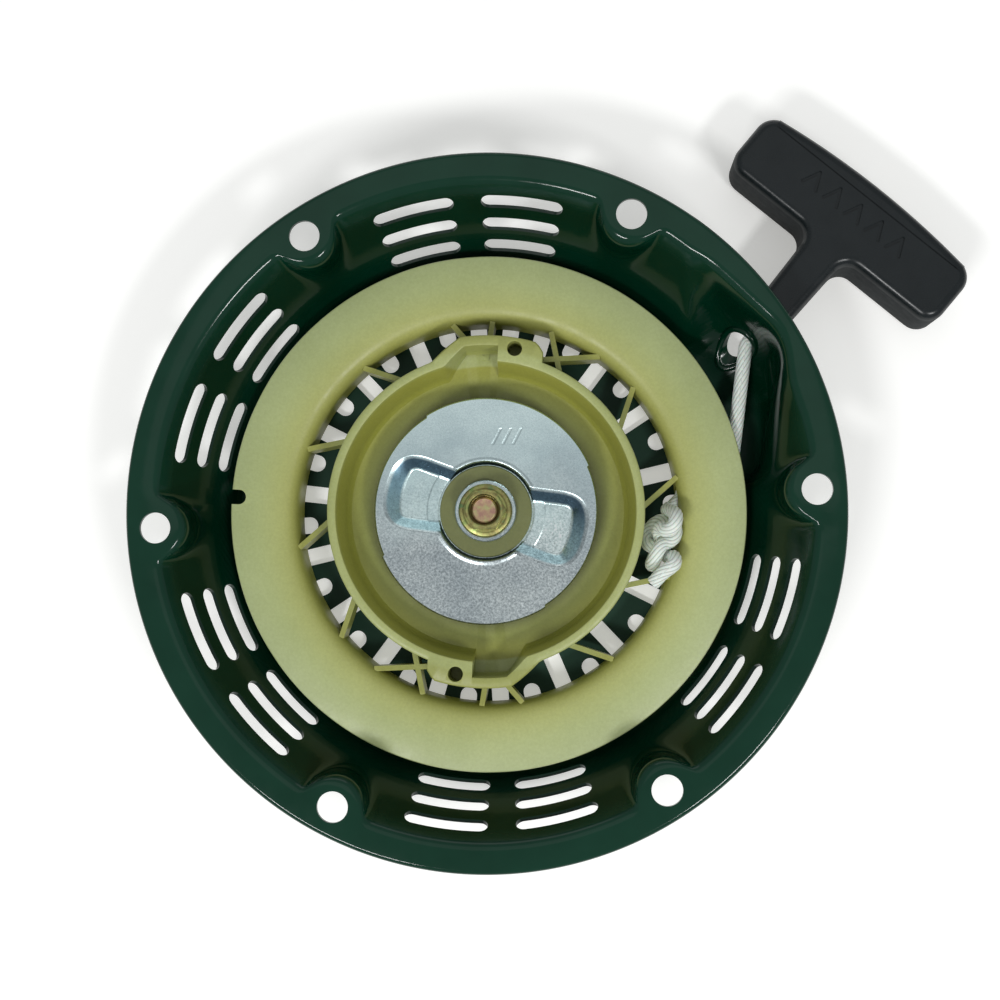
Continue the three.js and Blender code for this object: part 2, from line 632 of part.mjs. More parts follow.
// The T in plan: x across the head and y along the pull.
function gripOutline(inset) {
  const [near, far] = GRIP_U;
  const half = GRIP_LENGTH / 2;
  const [stemFoot, stemRoot] = STEM_WIDTH.map((width) => width / 2);
  const crown = [0.68, 0.34].map((part) => [part * half, far + GRIP_CROWN * (1 - part ** 2), 0]);
  const right = [[stemFoot, STEM_U, 1.5], [stemRoot, near, 4.5], [half, near, 5], [half, far, 5.5], ...crown];
  const left = right.map(([x, y, r]) => [-x, y, r]).reverse();
  return rounded([...right, [0, far + GRIP_CROWN, 0], ...left], inset);
}

function makeHandle() {
  const level = (side, a) => {
    const height = side * (GRIP_THICK / 2 - GRIP_EDGE_R + GRIP_EDGE_R * Math.sin(a));
    const inset = GRIP_EDGE_R * (1 - Math.cos(a));
    return gripOutline(inset).map(({ x, y }) => new THREE.Vector3(x, height, y));
  };
  const edge = [0, Math.PI / 2];
  const grip = loft([...edge.toReversed().map((a) => level(-1, a)), ...edge.map((a) => level(1, a))]);
  const [floor, wide, tall] = KNOT_ROOM;
  const signs = [[-1, -1], [1, -1], [1, 1], [-1, 1]];
  const room = prism(signs.map(([a, b]) => v3([(a * wide) / 2, (b * tall) / 2, 0])), floor, GRIP_U[1] + 8);
  return alongPull(cut(grip, [room, disc(2.4, STEM_U - 1, floor + 1, 16)]), 0);
}

// ---- assembly ----
const PAINT = ["#1c4034", 0.2, 0.3];
const NYLON = ["#b4b678", 0, 0.55];
const ROPE = ["#e9e9e2", 0, 0.9];
const ZINC = ["#c4ccd2", 0.9, 0.35];
const STEEL = ["#8d9196", 0.9, 0.45];
const BRONZED = ["#b9a35a", 0.9, 0.35];
const BLACK = ["#26292b", 0, 0.5];

const pieces = {
  case: [makeCase, PAINT],
  centre_post: [makeCentrePost, STEEL],
  recoil_spring: [makeRecoilSpring, STEEL],
  reel: [makeReel, NYLON],
  rope_coil: [makeRopeCoil, ROPE],
  rope_reel_knot: [makeReelKnot, ROPE],
  rope_lead: [makeRopeLead, ROPE],
  rope_pull: [makeRopePull, ROPE],
  pawl_1: [() => makePawl(0), STEEL],
  pawl_2: [() => makePawl(180), STEEL],
  pawl_spring_1: [() => makePawlSpring(0), STEEL],
  pawl_spring_2: [() => makePawlSpring(180), STEEL],
  friction_spring: [makeFrictionSpring, STEEL],
  ratchet_guide: [makeRatchetGuide, ZINC],
  friction_washer: [() => washer(BORE_R, 12.2, 18.1, POST_TOP_Z), NYLON],
  clamp_washer: [() => washer(3.3, 8.1, POST_TOP_Z + 0.3, BOLT_SEAT_Z - 0.3), ZINC],
  centre_bolt: [makeBolt, BRONZED],
  handle_grip: [makeHandle, BLACK],
  handle_retainer: [() => alongPull(washer(2.3, 4.7, 0.3, 1.5), KNOT_ROOM[0]), ZINC],
};

const starter = new THREE.Group();
for (const [name, [make, [color, metalness, roughness]]] of Object.entries(pieces)) {
  const material = new THREE.MeshStandardMaterial({ color, metalness, roughness });
  const mesh = new THREE.Mesh(geometryOf(make()), material);
  mesh.name = name;
  starter.add(mesh);
}

export default starter;
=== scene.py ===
"""Recoil starter for a small engine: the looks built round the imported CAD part.

Dimensions are millimetres and degrees in the CAD frame, unless a heading says otherwise. Mesh data is
scaled to metres as it is made.
"""

import math

import bmesh
import bpy
import numpy as np
from mathutils import Matrix, Vector


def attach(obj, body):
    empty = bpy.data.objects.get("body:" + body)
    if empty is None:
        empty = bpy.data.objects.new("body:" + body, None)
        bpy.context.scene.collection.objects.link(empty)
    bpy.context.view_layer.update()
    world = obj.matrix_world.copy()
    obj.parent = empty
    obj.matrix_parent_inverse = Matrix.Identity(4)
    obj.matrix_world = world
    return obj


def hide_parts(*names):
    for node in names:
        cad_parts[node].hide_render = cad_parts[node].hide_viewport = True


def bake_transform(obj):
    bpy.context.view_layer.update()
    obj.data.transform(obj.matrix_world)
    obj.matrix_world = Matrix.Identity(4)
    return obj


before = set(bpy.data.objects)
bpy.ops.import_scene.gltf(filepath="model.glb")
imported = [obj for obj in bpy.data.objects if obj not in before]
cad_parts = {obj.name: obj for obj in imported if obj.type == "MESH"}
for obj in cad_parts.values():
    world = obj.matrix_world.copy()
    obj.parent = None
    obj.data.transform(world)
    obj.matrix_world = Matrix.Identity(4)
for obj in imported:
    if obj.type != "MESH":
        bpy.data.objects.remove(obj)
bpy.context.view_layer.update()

MM = 0.001

# ---- case ----
SHEET = 1.2
FLANGE_Z = 32.0
FLANGE_R = 93.0
FLANGE_EDGE_R = 1.3
LIP_DROP = 2.4
WALL_TOP_R = 85.4
WALL_SLOPE = 0.64
WALL_Z = (27.0, 8.5)
WALL_SEARCH = (55.0, 95.0)
FLANGE_BEND_R = 3.0
FRONT_BEND_R = 5.0
RIVET_HOLE_R = 4.4
HOLES = 6
HOLE_START = 3.3
HOLE_R = 4.0
HOLE_CIRCLE_R = 85.2
LOBE_R = 8.0
LOBE_TAPER = 0.05
LOBE_BEND = 2.5
SLOT_ROWS = 3
SLOT_ROW_DEPTH = 6.3
SLOT_ROW_PITCH = 6.7
SLOT_WIDTH = 4.4
SLOT_SPAN = 15.3
SLOT_OFFSET = 10.2
FACE_SLOTS = 18
FACE_SLOT_WIDTH = 4.6
FACE_SLOT_OUT = 60.0
LONG_SLOT_START = 13.5
LONG_SLOT_IN = 34.0
SHORT_SLOT_START = 3.5
SHORT_SLOT_IN = 47.8

# ---- rope exit ----
PULL_ANGLE = 50.2
PULL_SIDE = -24.6
PULL_Z = 9.7
MOUTH_U = 79.4
EXIT_RAMP_U = 78.8
EXIT_WALL_U = 81.6
EXIT_WALL_Z = 13.0
EXIT_WALL_LEAN = 0.11
EXIT_LEFT_SIDE = -12.5
EXIT_LEFT_LEAN = 0.5
EXIT_ROPE_ROOM = 8.0
EXIT_LENGTH = 35.0
EXIT_FLOOR_U = 60.0
EXIT_FLOOR_Z = 2.6
EXIT_FLOOR_RISE = 0.2
EXIT_FOOT_BEND = 4.0
EXIT_CORNER_BEND = 5.0
EXIT_SIDE_BEND = 6.0
RAMP_SEARCH = (66.0, 90.0)
EYELET_SIDE = -23.0
EYELET_R = 3.6
BEAD_R = 0.9

# ---- reel ----
REEL_R = 69.2
REEL_LOWER_R = 66.0
DRUM_R = 52.8
DRUM_IN_R = 51.0
GROOVE_Z = (6.2, 13.2)
REEL_WEB = 1.8
CUP_FLOOR_Z = 12.2
CUP_RIM_Z = 22.5
CUP_SKIRT_Z = 2.0
CUP_R = 42.0
BULGE_STEP_R = 44.6
BULGE_R = 46.6
# Radii inside the cup: its wall, the wall's foot and the level floor; then what a pocket adds to each.
CUP_INSIDE = np.array([39.5, 37.6, 35.8])
POCKET_ADDS = np.array([4.2, 5.7, 7.0])
HUB_R = 8.4
HUB_Z = 15.5
BORE_R = 7.4
SPRING_ROOM_R = 38.8
RIBS = 12
RIB_Z = (5.0, 12.5)
RIB_THICK = 1.4
RIB_IN = (41.2, 1.3)
RIB_OUT = (51.8, 10.6)
BULGE_RIBS = (((41.2, 90.5), (51.8, 88.5)), ((43.5, 71.5), (51.8, 54.2)))
MARKS = 12
MARK_R = 3.5
MARK_START = (32.2, 15.0)
MARK_HEIGHT = 0.07
SPRING_PIN = (35.6, 200.0)
SPRING_PIN_R = 1.3
SPRING_PIN_Z = 2.4
PAWL_PIVOT = (19.5, 38.0)
PAWL_PIN_R = 2.1
PAWL_PIN_Z = 18.4
RIM_HOLE = (43.5, 79.8)
RIM_HOLE_R = 2.0
NOTCH_ANGLE = 176.5
NOTCH_WIDTH = 4.0
REEL_KNOT = (47.4, -10.0, 13.8)
REEL_KNOT_LEAN = 26.0

# ---- rope ----
ROPE_R = 1.9
ROPE_ROOM = 0.3
COIL_IN_R = 55.4
COIL_OUT_R = 63.5
COIL_START = 5.0
COIL_SWAY = 1.35
COIL_CROSSING = 190.0
CROSSING_SPREAD = 22.0
COIL_FROM = 0.035
KNOT_R = 4.3
KNOT_TUBE_R = 2.25
KNOT_OPENING = 0.32
YARNS = 10
YARN_LAY = 21.0
YARN_BULGE = 0.11

# ---- centre stack ----
GUIDE_R = 29.5
GUIDE_LOBE_R = 30.0
GUIDE_LOBE = (24.0, 122.0)
GUIDE_TOP_Z = 20.5
GUIDE_SHEET = 1.4
GUIDE_EDGE = 0.35
RECESS_ANGLE = -14.0
RECESS_DEPTH = 2.7
RECESS_R = 27.4
RECESS_HALF = 7.9
RECESS_FLARE = 0.115
RECESS_BEND = 7.0
PAD_R = 22.6
PAD_HALF = 3.9
PAD_FLARE = 0.127
PAD_BEND = 2.0
COLLAR_R = 12.45
COLLAR_SLOPE = 0.75
COLLAR_BEAD_OUT = 1.1
COLLAR_BEAD_WIDTH = 0.55
COLLAR_BEAD_HEIGHT = 0.28
STEP_R = 15.5
STEP_HEIGHT = 0.16
STAMP = (5.6, 19.7)
STROKE_ACROSS = (0.89, -0.45)
STROKE_PITCH = 2.4
STROKE_REACH = 1.9
STROKE_EDGE = (0.12, 0.42)
STAMP_DEPTH = 0.16
PEG = (16.5, 73.0)
PEG_R = 1.5
PEG_Z = 13.0
# Washers: the hole's radius, the outer radius, and the heights of the two faces.
COLLAR_WASHER = (3.3, 8.1, 19.3, 20.5)
THRUST_WASHER = (BORE_R, 12.2, 18.1, 19.0)
WASHER_EDGE = 0.12
BOLT_SEAT_Z = 20.8
BOLT_FLANGE_R = 7.1
BOLT_HEIGHT = 6.0
HEXAGON_ACROSS = 10.0
SHANK_R = 3.0
SHANK_Z = 6.8

# ---- handle ----
GRIP_LENGTH = 69.5
GRIP_THICK = 18.0
GRIP_U = (112.4, 130.4)
GRIP_CROWN = 2.6
GRIP_EDGE_R = 2.5
STEM_U = 84.0
STEM_WIDTH = (10.0, 11.8)
STEM_HOLE_R = 2.4
KNOT_ROOM_U = 114.0
KNOT_ROOM_SIZE = (19.0, 10.0)
PULL_KNOT_U = 124.8
ARROWS = 5
ARROW_PITCH = 7.0
ARROW_LENGTH = 4.6
ARROW_HALF = 2.2
ARROW_INSET = 4.5
ARROW_STROKE = 0.9
ARROW_DEPTH = 0.5

# ---- heights at which a look changes ----
# The front face ends over the first span and is duller below it. Above it, painted shade darkens the bowl's
# walls, and that shade fades out over the second span below the flange.
FRONT_PAINT_Z = (3.0, 7.0)
BOWL_SHADE_FADE_Z = (26.5, 31.5)
GRIP_FACE_Z = (15.5, 17.8)
PRESSED_WALL_Z = (17.95, 18.25)
PLATE_TOP_Z = (19.85, 20.2)

# ---- stage, in metres and watts ----
STAGE_CENTRE = (0, 0, 0.02)
FLOOR_SIZE = 6
FLOOR_Z = -0.0006
SKY_COLOR = (0.93, 0.97, 1.0, 1)
SKY_STRENGTH = 0.36
# Each light: where it is, its width and height, and its power.
LIGHTS = {
    "left window": ((-0.34, -0.56, 0.85), (0.32, 0.11), 4.2),
    "right window": ((0.44, -0.48, 0.85), (0.26, 0.10), 3.5),
    "far window": ((0, 0.95, 0.34), (0.9, 0.3), 0.6),
    "ceiling": ((0, 0.35, 1.1), (0.9, 0.7), 0.6),
}

# ---- camera, in metres and radians, with the lens in mm ----
CAMERA_TILT = (-0.0564, -0.05, -0.0015)
CAMERA_SLIDE = (-0.0038, -0.0029)
CAMERA_DISTANCE = 0.4
CAMERA_LENS = 54.5
SENSOR_WIDTH = 36


def polar(r, angle, z=0.0):
    a = np.radians(angle)
    return np.array([r * np.cos(a), r * np.sin(a), z])


def pull(u, v, z):
    """A point from its distance along the pull, its distance to the left of it, and z."""
    return polar(u, PULL_ANGLE, z) + polar(v, PULL_ANGLE + 90)


RUN_Z = PULL_Z - COIL_SWAY
MOUTH = pull(MOUTH_U, PULL_SIDE, PULL_Z)
MOUTH_R = math.hypot(MOUTH[0], MOUTH[1])
LEAVE_ANGLE = math.degrees(math.atan2(MOUTH[1], MOUTH[0]) - math.acos(COIL_OUT_R / MOUTH_R))
COIL_TURNS = 2 + (360 + LEAVE_ANGLE - COIL_START) / 360
DRUM_PASS = [polar(50.2, 2.2, RUN_Z), polar(53, 6.2, RUN_Z)]


# ---- mesh making ----
def mesh_of(name, points, faces):
    mesh = bpy.data.meshes.new(name)
    mesh.from_pydata((np.asarray(points) * MM).tolist(), [], faces)
    mesh.validate()
    obj = bpy.data.objects.new(name, mesh)
    bpy.context.scene.collection.objects.link(obj)
    face_outwards(obj)
    return obj


def face_outwards(obj):
    bm = bmesh.new()
    bm.from_mesh(obj.data)
    bmesh.ops.recalc_face_normals(bm, faces=bm.faces)
    bmesh.ops.triangulate(bm, faces=[face for face in bm.faces if len(face.verts) > 4])
    if bm.calc_volume(signed=True) < 0:
        bmesh.ops.reverse_faces(bm, faces=bm.faces)
    bm.to_mesh(obj.data)
    bm.free()


def loft(name, rings, looped=False):
    """Rings of points skinned into one closed mesh; looped rings meet end to end."""
    rings = np.asarray(rings)
    count, n = rings.shape[:2]
    faces = []
    for i in range(count if looped else count - 1):
        k = (i + 1) % count
        for j in range(n):
            m = (j + 1) % n
            faces.append((i * n + j, i * n + m, k * n + m, k * n + j))
    if not looped:
        faces.append(tuple(range(n)))
        faces.append(tuple(range(count * n - 1, (count - 1) * n - 1, -1)))
    return mesh_of(name, rings.reshape(-1, 3), faces)


def turned(name, profile, segments=96):
    """A closed profile of (radius, z) points turned round the Z axis."""
    rings = [[polar(r, a, z) for r, z in profile] for a in np.arange(segments) * 360 / segments]
    return loft(name, rings, looped=True)


def prism(name, outline, z0, z1):
    return loft(name, [[(p[0], p[1], z) for p in outline] for z in (z0, z1)])


def circle(r, sides, at=(0, 0, 0)):
    return [polar(r, 360 * i / sides) + np.array(at) for i in range(sides)]


def capsule(a, b, width):
    """A straight slot outline with round ends between two points."""
    along = math.degrees(math.atan2(b[1] - a[1], b[0] - a[0]))
    turns = np.linspace(0, 180, 11)
    head = [np.asarray(b) + polar(width / 2, along - 90 + turn) for turn in turns]
    tail = [np.asarray(a) + polar(width / 2, along + 90 + turn) for turn in turns]
    return head + tail


def quarter_round(radius, count):
    """How far in and how far down the points of a rounded edge lie, from its side to its top."""
    turns = np.radians(np.linspace(0, 90, count))
    return [(radius * (1 - math.cos(a)), radius * (1 - math.sin(a))) for a in turns]


def combine(target, others, operation):
    """Boolean of others, as one mesh, into target."""
    tool = others[0]
    with bpy.context.temp_override(active_object=tool, selected_editable_objects=others):
        if len(others) > 1:
            bpy.ops.object.join()
    modifier = target.modifiers.new("combine", "BOOLEAN")
    modifier.operation = operation
    modifier.solver = "MANIFOLD"
    modifier.object = tool
    evaluated = target.evaluated_get(bpy.context.evaluated_depsgraph_get())
    mesh = bpy.data.meshes.new_from_object(evaluated)
    target.modifiers.clear()
    target.data = mesh
    bpy.data.objects.remove(tool)


def shade(obj, angle=35, level_flat=False):
    """Smooth shading with edges over the angle kept sharp, and level faces left flat if asked."""
    bm = bmesh.new()
    bm.from_mesh(obj.data)
    for face in bm.faces:
        face.smooth = not (level_flat and abs(face.normal.z) > 0.9999)
    for edge in bm.edges:
        if len(edge.link_faces) == 2:
            edge.smooth = edge.calc_face_angle() < math.radians(angle)
    bm.to_mesh(obj.data)
    bm.free()
    return obj


def run_along(points):
    """The distance run at each point of a line, from its first point."""
    return np.concatenate([[0], np.cumsum(np.linalg.norm(np.diff(points, axis=0), axis=1))])


def sweep(points, radius, sides):
    """Rings of a round rod along points, with the angles round it."""
    points = np.asarray(points, float)
    ahead = np.roll(points, -1, 0)
    behind = np.roll(points, 1, 0)
    ahead[-1], behind[0] = points[-1], points[0]
    along = ahead - behind
    along /= np.linalg.norm(along, axis=1)[:, None]
    side = np.array([0.0, 0.0, 1.0])
    angles = np.arange(sides) * 2 * np.pi / sides
    rings = []
    for p, t in zip(points, along):
        side = side - t * side.dot(t)
        side /= np.linalg.norm(side)
        up = np.cross(t, side)
        rings.append(p + radius * (np.cos(angles)[:, None] * side + np.sin(angles)[:, None] * up))
    return np.array(rings), angles


def spline(points, spacing):
    """Points evenly spaced on a smooth curve through the given ones."""
    p = np.asarray(points, float)
    p = np.vstack([2 * p[0] - p[1], p, 2 * p[-1] - p[-2]])
    fine = []
    for a, b, c, d in zip(p, p[1:], p[2:], p[3:]):
        for t in np.linspace(0, 1, 12, endpoint=False):
            fine.append(0.5 * (2 * b + (c - a) * t + (2 * a - 5 * b + 4 * c - d) * t**2
                               + (3 * b - a - 3 * c + d) * t**3))
    fine = np.array(fine + [p[-2]])
    run = run_along(fine)
    at = np.linspace(0, run[-1], max(2, int(run[-1] / spacing)))
    return np.stack([np.interp(at, run, fine[:, k]) for k in range(3)], 1)


def rope_way(points, sides):
    """A cutter that makes room for the rope along points."""
    return loft("cutter", sweep(points, ROPE_R + ROPE_ROOM, sides)[0])


def along_pull(obj, u):
    """Lays a piece built round +Z on the pull line, +Z pointing out and +X to the left."""
    out, left = polar(1, PULL_ANGLE), polar(1, PULL_ANGLE + 90)
    basis = Matrix([list(left), [0, 0, 1], list(out)]).transposed().to_4x4()
    basis.translation = Vector(pull(u, PULL_SIDE, PULL_Z) * MM)
    obj.data.transform(basis)
    return obj


# ---- materials ----
# Noise values lie mostly in this span.
NOISE_SPAN = (0.3, 0.7)
# The sockets of a Mix node that hold colours share their names with others, so they go by number.
MIX_FACTOR, MIX_A, MIX_B, MIX_RESULT = 0, 6, 7, 2
WHITE = (1, 1, 1, 1)


class Look:
    """A procedural material on a Principled shader, fed by the object's own coordinates."""

    def __init__(self, name, **sockets):
        self.material = bpy.data.materials.new(name)
        self.material.use_nodes = True
        self.nodes = self.material.node_tree.nodes
        self.links = self.material.node_tree.links
        self.shader = self.nodes["Principled BSDF"]
        self.coordinates = self.nodes.new("ShaderNodeTexCoord").outputs["Object"]
        self.normal = None
        for key, value in sockets.items():
            self.shader.inputs[key.replace("_", " ")].default_value = value

    def supply(self, socket, source):
        """Gives a socket a constant, or links another node's output to it."""
        if isinstance(source, (int, float, tuple)):
            socket.default_value = source
        else:
            self.links.new(source, socket)

    def noise(self, scale, detail=4.0, rough=0.55, stretch=None):
        """Noise, drawn out along X if a stretch is given."""
        node = self.nodes.new("ShaderNodeTexNoise")
        for key, number in (("Scale", scale), ("Detail", detail), ("Roughness", rough)):
            node.inputs[key].default_value = number
        source = self.coordinates
        if stretch:
            mapping = self.nodes.new("ShaderNodeMapping")
            mapping.inputs["Scale"].default_value = (1, stretch, 1)
            self.links.new(source, mapping.inputs["Vector"])
            source = mapping.outputs["Vector"]
        self.links.new(source, node.inputs["Vector"])
        return node.outputs["Fac"]

    def ramp(self, value, stops):
        node = self.nodes.new("ShaderNodeValToRGB")
        elements = node.color_ramp.elements
        while len(elements) < len(stops):
            elements.new(0.5)
        for element, (position, color) in zip(elements, stops):
            element.position = position
            element.color = (*color, 1)
        self.links.new(value, node.inputs["Fac"])
        return node.outputs["Color"]

    def mixed(self, a, b, factor, blend_type="MIX"):
        node = self.nodes.new("ShaderNodeMix")
        node.data_type = "RGBA"
        node.blend_type = blend_type
        for socket, source in ((MIX_FACTOR, factor), (MIX_A, a), (MIX_B, b)):
            self.supply(node.inputs[socket], source)
        return node.outputs[MIX_RESULT]

    def product(self, a, b):
        return self.mixed(a, b, 1.0, "MULTIPLY")

    def scaled(self, value, low, high, start, stop):
        """Low where the value is start or less, high where it is stop or more, and even between."""
        node = self.nodes.new("ShaderNodeMapRange")
        limits = (("From Min", start), ("From Max", stop), ("To Min", low), ("To Max", high))
        for key, number in limits:
            node.inputs[key].default_value = number
        self.links.new(value, node.inputs["Value"])
        return node.outputs["Result"]

    def math(self, operation, *sources):
        node = self.nodes.new("ShaderNodeMath")
        node.operation = operation
        for socket, source in zip(node.inputs, sources):
            self.supply(socket, source)
        return node.outputs["Value"]

    def part(self, axis):
        split = self.nodes.new("ShaderNodeSeparateXYZ")
        self.links.new(self.coordinates, split.inputs["Vector"])
        return split.outputs[axis]

    def by_height(self, start, stop, low=0, high=1):
        """Low up to one height and high from another on, both in mm."""
        return self.scaled(self.part("Z"), low, high, start * MM, stop * MM)

    def by_radius(self, start, stop, low=0, high=1):
        """Low up to one distance from the shaft axis and high from another on, both in mm."""
        x, y = self.part("X"), self.part("Y")
        squared = self.math("ADD", self.math("MULTIPLY", x, x), self.math("MULTIPLY", y, y))
        return self.scaled(self.math("SQRT", squared), low, high, start * MM, stop * MM)

    def attribute(self, name):
        node = self.nodes.new("ShaderNodeAttribute")
        node.attribute_name = name
        return node.outputs["Fac"]

    def color(self, source):
        self.supply(self.shader.inputs["Base Color"], source)

    def roughness(self, value, low, high, more=None):
        """Roughness between low and high by a noise value, with more added if it is given."""
        rough = self.scaled(value, low, high, *NOISE_SPAN)
        if more:
            rough = self.math("ADD", rough, more)
        self.supply(self.shader.inputs["Roughness"], rough)

    def bump(self, value, depth, strength):
        node = self.nodes.new("ShaderNodeBump")
        node.inputs["Distance"].default_value = depth * MM
        node.inputs["Strength"].default_value = strength
        self.links.new(value, node.inputs["Height"])
        if self.normal:
            self.links.new(self.normal, node.inputs["Normal"])
        self.normal = node.outputs["Normal"]
        self.links.new(self.normal, self.shader.inputs["Normal"])


def green_paint():
    """Deep gloss paint, with painted shade darkening it down in the bowl, and duller on the front face
    under the reel.
    """
    look = Look("green_paint", Specular_IOR_Level=0.31)
    light = look.ramp(look.noise(60), [(0.3, (0.002, 0.028, 0.0145)), (0.7, (0.004, 0.036, 0.0195))])
    # Painted shade: a darker copy of the paint for the bowl's walls.
    dark = look.ramp(look.noise(60), [(0.3, (0.0002, 0.0135, 0.0055)), (0.7, (0.0006, 0.020, 0.0095))])
    front_and_shaded_bowl = look.mixed(light, dark, look.by_height(*FRONT_PAINT_Z))
    look.color(look.mixed(front_and_shaded_bowl, light, look.by_height(*BOWL_SHADE_FADE_Z)))
    look.roughness(look.noise(260, 5), 0.06, 0.13, more=look.by_height(*FRONT_PAINT_Z, 0.45, 0.02))
    look.bump(look.noise(320, 2), 0.06, 0.35)
    look.bump(look.noise(2400, 2), 0.01, 0.3)
    return look.material


# Reel colour by radius: the deep cup is olive, the rim and the ring pale.
REEL_COLOR_SPAN = (30, 70)
REEL_COLORS = [
    (30, (0.165, 0.180, 0.062)), (33, (0.285, 0.310, 0.078)),
    (37.3, (0.310, 0.320, 0.055)), (39.3, (0.340, 0.345, 0.060)),
    (39.9, (0.400, 0.440, 0.165)), (42, (0.375, 0.415, 0.150)), (43, (0.330, 0.355, 0.105)),
    (50.9, (0.300, 0.310, 0.065)), (52.6, (0.400, 0.412, 0.120)), (57, (0.425, 0.458, 0.160)),
    (62, (0.420, 0.475, 0.195)), (69, (0.400, 0.460, 0.210)),
]


def nylon():
    """Translucent olive nylon, cloudy and finely grained."""
    look = Look("nylon", Roughness=0.4, Subsurface_Weight=0.15, Subsurface_Scale=0.0012)
    look.shader.inputs["Subsurface Radius"].default_value = (1.0, 0.9, 0.35)
    inmost, outmost = REEL_COLOR_SPAN
    stops = [((r - inmost) / (outmost - inmost), color) for r, color in REEL_COLORS]
    across = look.ramp(look.by_radius(inmost, outmost), stops)
    cloudy = look.ramp(look.noise(26, 4, 0.6), [(0.3, (0.90, 0.90, 0.88)), (0.7, (1.06, 1.05, 1.10))])
    grain = look.ramp(look.noise(1500, 5, 0.7), [(0.35, (0.93, 0.93, 0.92)), (0.65, (1.05, 1.05, 1.08))])
    look.color(look.product(look.product(across, cloudy), grain))
    look.roughness(look.noise(300, 6), 0.34, 0.5)
    look.bump(look.noise(900, 5), 0.03, 0.35)
    return look.material


def bare_metal(name, stops, roughness):
    """Steel with a fine grain and faint scratches."""
    look = Look(name, Metallic=1.0)
    look.color(look.ramp(look.noise(90, 6, 0.65), stops))
    look.roughness(look.noise(270, 6, 0.7), *roughness)
    look.bump(look.noise(1500, 5), 0.02, 0.5)
    look.bump(look.noise(160, 8, 0.8, stretch=22), 0.02, 0.25)
    return look.material


def plated_zinc():
    """Bright plating with a fine grain. Towards -Y of the plate the grain is coarser and darkened by
    painted shade, and a painted reflection lies on the walls pressed into it.
    """
    look = Look("zinc", Metallic=1.0)
    fine = look.ramp(look.noise(2300, 4, 0.7), [(0.38, (0.60, 0.73, 0.74)), (0.62, (0.74, 0.88, 0.88))])
    # A coarser grain, darkened as painted shade for the -Y side of the plate.
    speckled_shade = look.ramp(look.noise(1700, 6, 0.75), [
        (0.38, (0.34, 0.38, 0.39)), (0.5, (0.54, 0.60, 0.61)), (0.62, (0.80, 0.86, 0.86))])
    # Mask of the painted shade towards -Y, its edge wandering with noise.
    wandering = look.math("MULTIPLY", look.noise(70, 4, 0.6), 30 * MM)
    low_side_shade = look.scaled(look.math("ADD", look.part("Y"), wandering), 1, 0, 2 * MM, 32 * MM)
    cloudy = look.ramp(look.noise(48, 3), [(0.35, (0.84, 0.86, 0.88)), (0.62, (1.1, 1.1, 1.09))])
    flat = look.product(look.mixed(fine, speckled_shade, low_side_shade), cloudy)

    # Painted reflection on the pressed walls, by the distance across the bow-tie: pale cyan towards -Y,
    # dark navy towards +Y. The floor of the bow-tie is made brighter.
    turn = math.radians(RECESS_ANGLE)
    across = look.math("SUBTRACT", look.math("MULTIPLY", look.part("Y"), math.cos(turn)),
                       look.math("MULTIPLY", look.part("X"), math.sin(turn)))
    wall = look.ramp(look.scaled(across, 0, 1, -4 * MM, 6 * MM), [
        (0, (0.74, 0.95, 1.0)), (0.45, (0.50, 0.68, 0.78)), (1, (0.17, 0.24, 0.31))])
    pad = look.ramp(look.noise(300, 3), [(0.3, (1.16, 1.22, 1.2)), (0.7, (1.28, 1.32, 1.28))])
    pressed = look.mixed(pad, wall, look.by_height(*PRESSED_WALL_Z))
    look.color(look.product(flat, look.mixed(pressed, WHITE, look.by_height(*PLATE_TOP_Z))))
    look.roughness(look.noise(1200, 5, 0.7), 0.24, 0.36)
    look.bump(look.noise(2600, 4), 0.014, 0.5)
    look.bump(look.noise(160, 8, 0.8, stretch=14), 0.02, 0.12)
    return look.material


def yellow_zinc():
    """Iridescent plating on the bolt: green on the ring, copper in the dish, and painted shade in two dark
    rings, in the groove round the dish and near the hexagon's foot.
    """
    look = Look("yellow_zinc", Metallic=1.0)
    ring = look.ramp(look.noise(420, 5, 0.6), [
        (0.34, (0.26, 0.36, 0.12)), (0.47, (0.44, 0.45, 0.17)), (0.57, (0.36, 0.30, 0.12)),
        (0.68, (0.22, 0.33, 0.14))])
    dish = look.ramp(look.noise(620, 6, 0.7), [
        (0.38, (0.58, 0.54, 0.26)), (0.50, (0.58, 0.39, 0.25)), (0.62, (0.48, 0.28, 0.22))])
    unshaded_tone, shaded_tone = (1, 1, 1), (0.42, 0.4, 0.36)
    # Painted shade: two darker rings, one in the groove round the dish and one further out near the foot of
    # the hexagon.
    groove_shade = look.ramp(look.by_radius(0, 8), [
        (0.40, unshaded_tone), (0.44, shaded_tone), (0.49, shaded_tone), (0.54, unshaded_tone),
        (0.68, unshaded_tone), (0.72, shaded_tone), (0.77, unshaded_tone)])
    look.color(look.product(look.mixed(ring, dish, look.by_radius(3.4, 3.9, 1, 0)), groove_shade))
    look.roughness(look.noise(900, 6, 0.7), 0.28, 0.44)
    look.bump(look.noise(1500, 5), 0.02, 0.4)
    return look.material


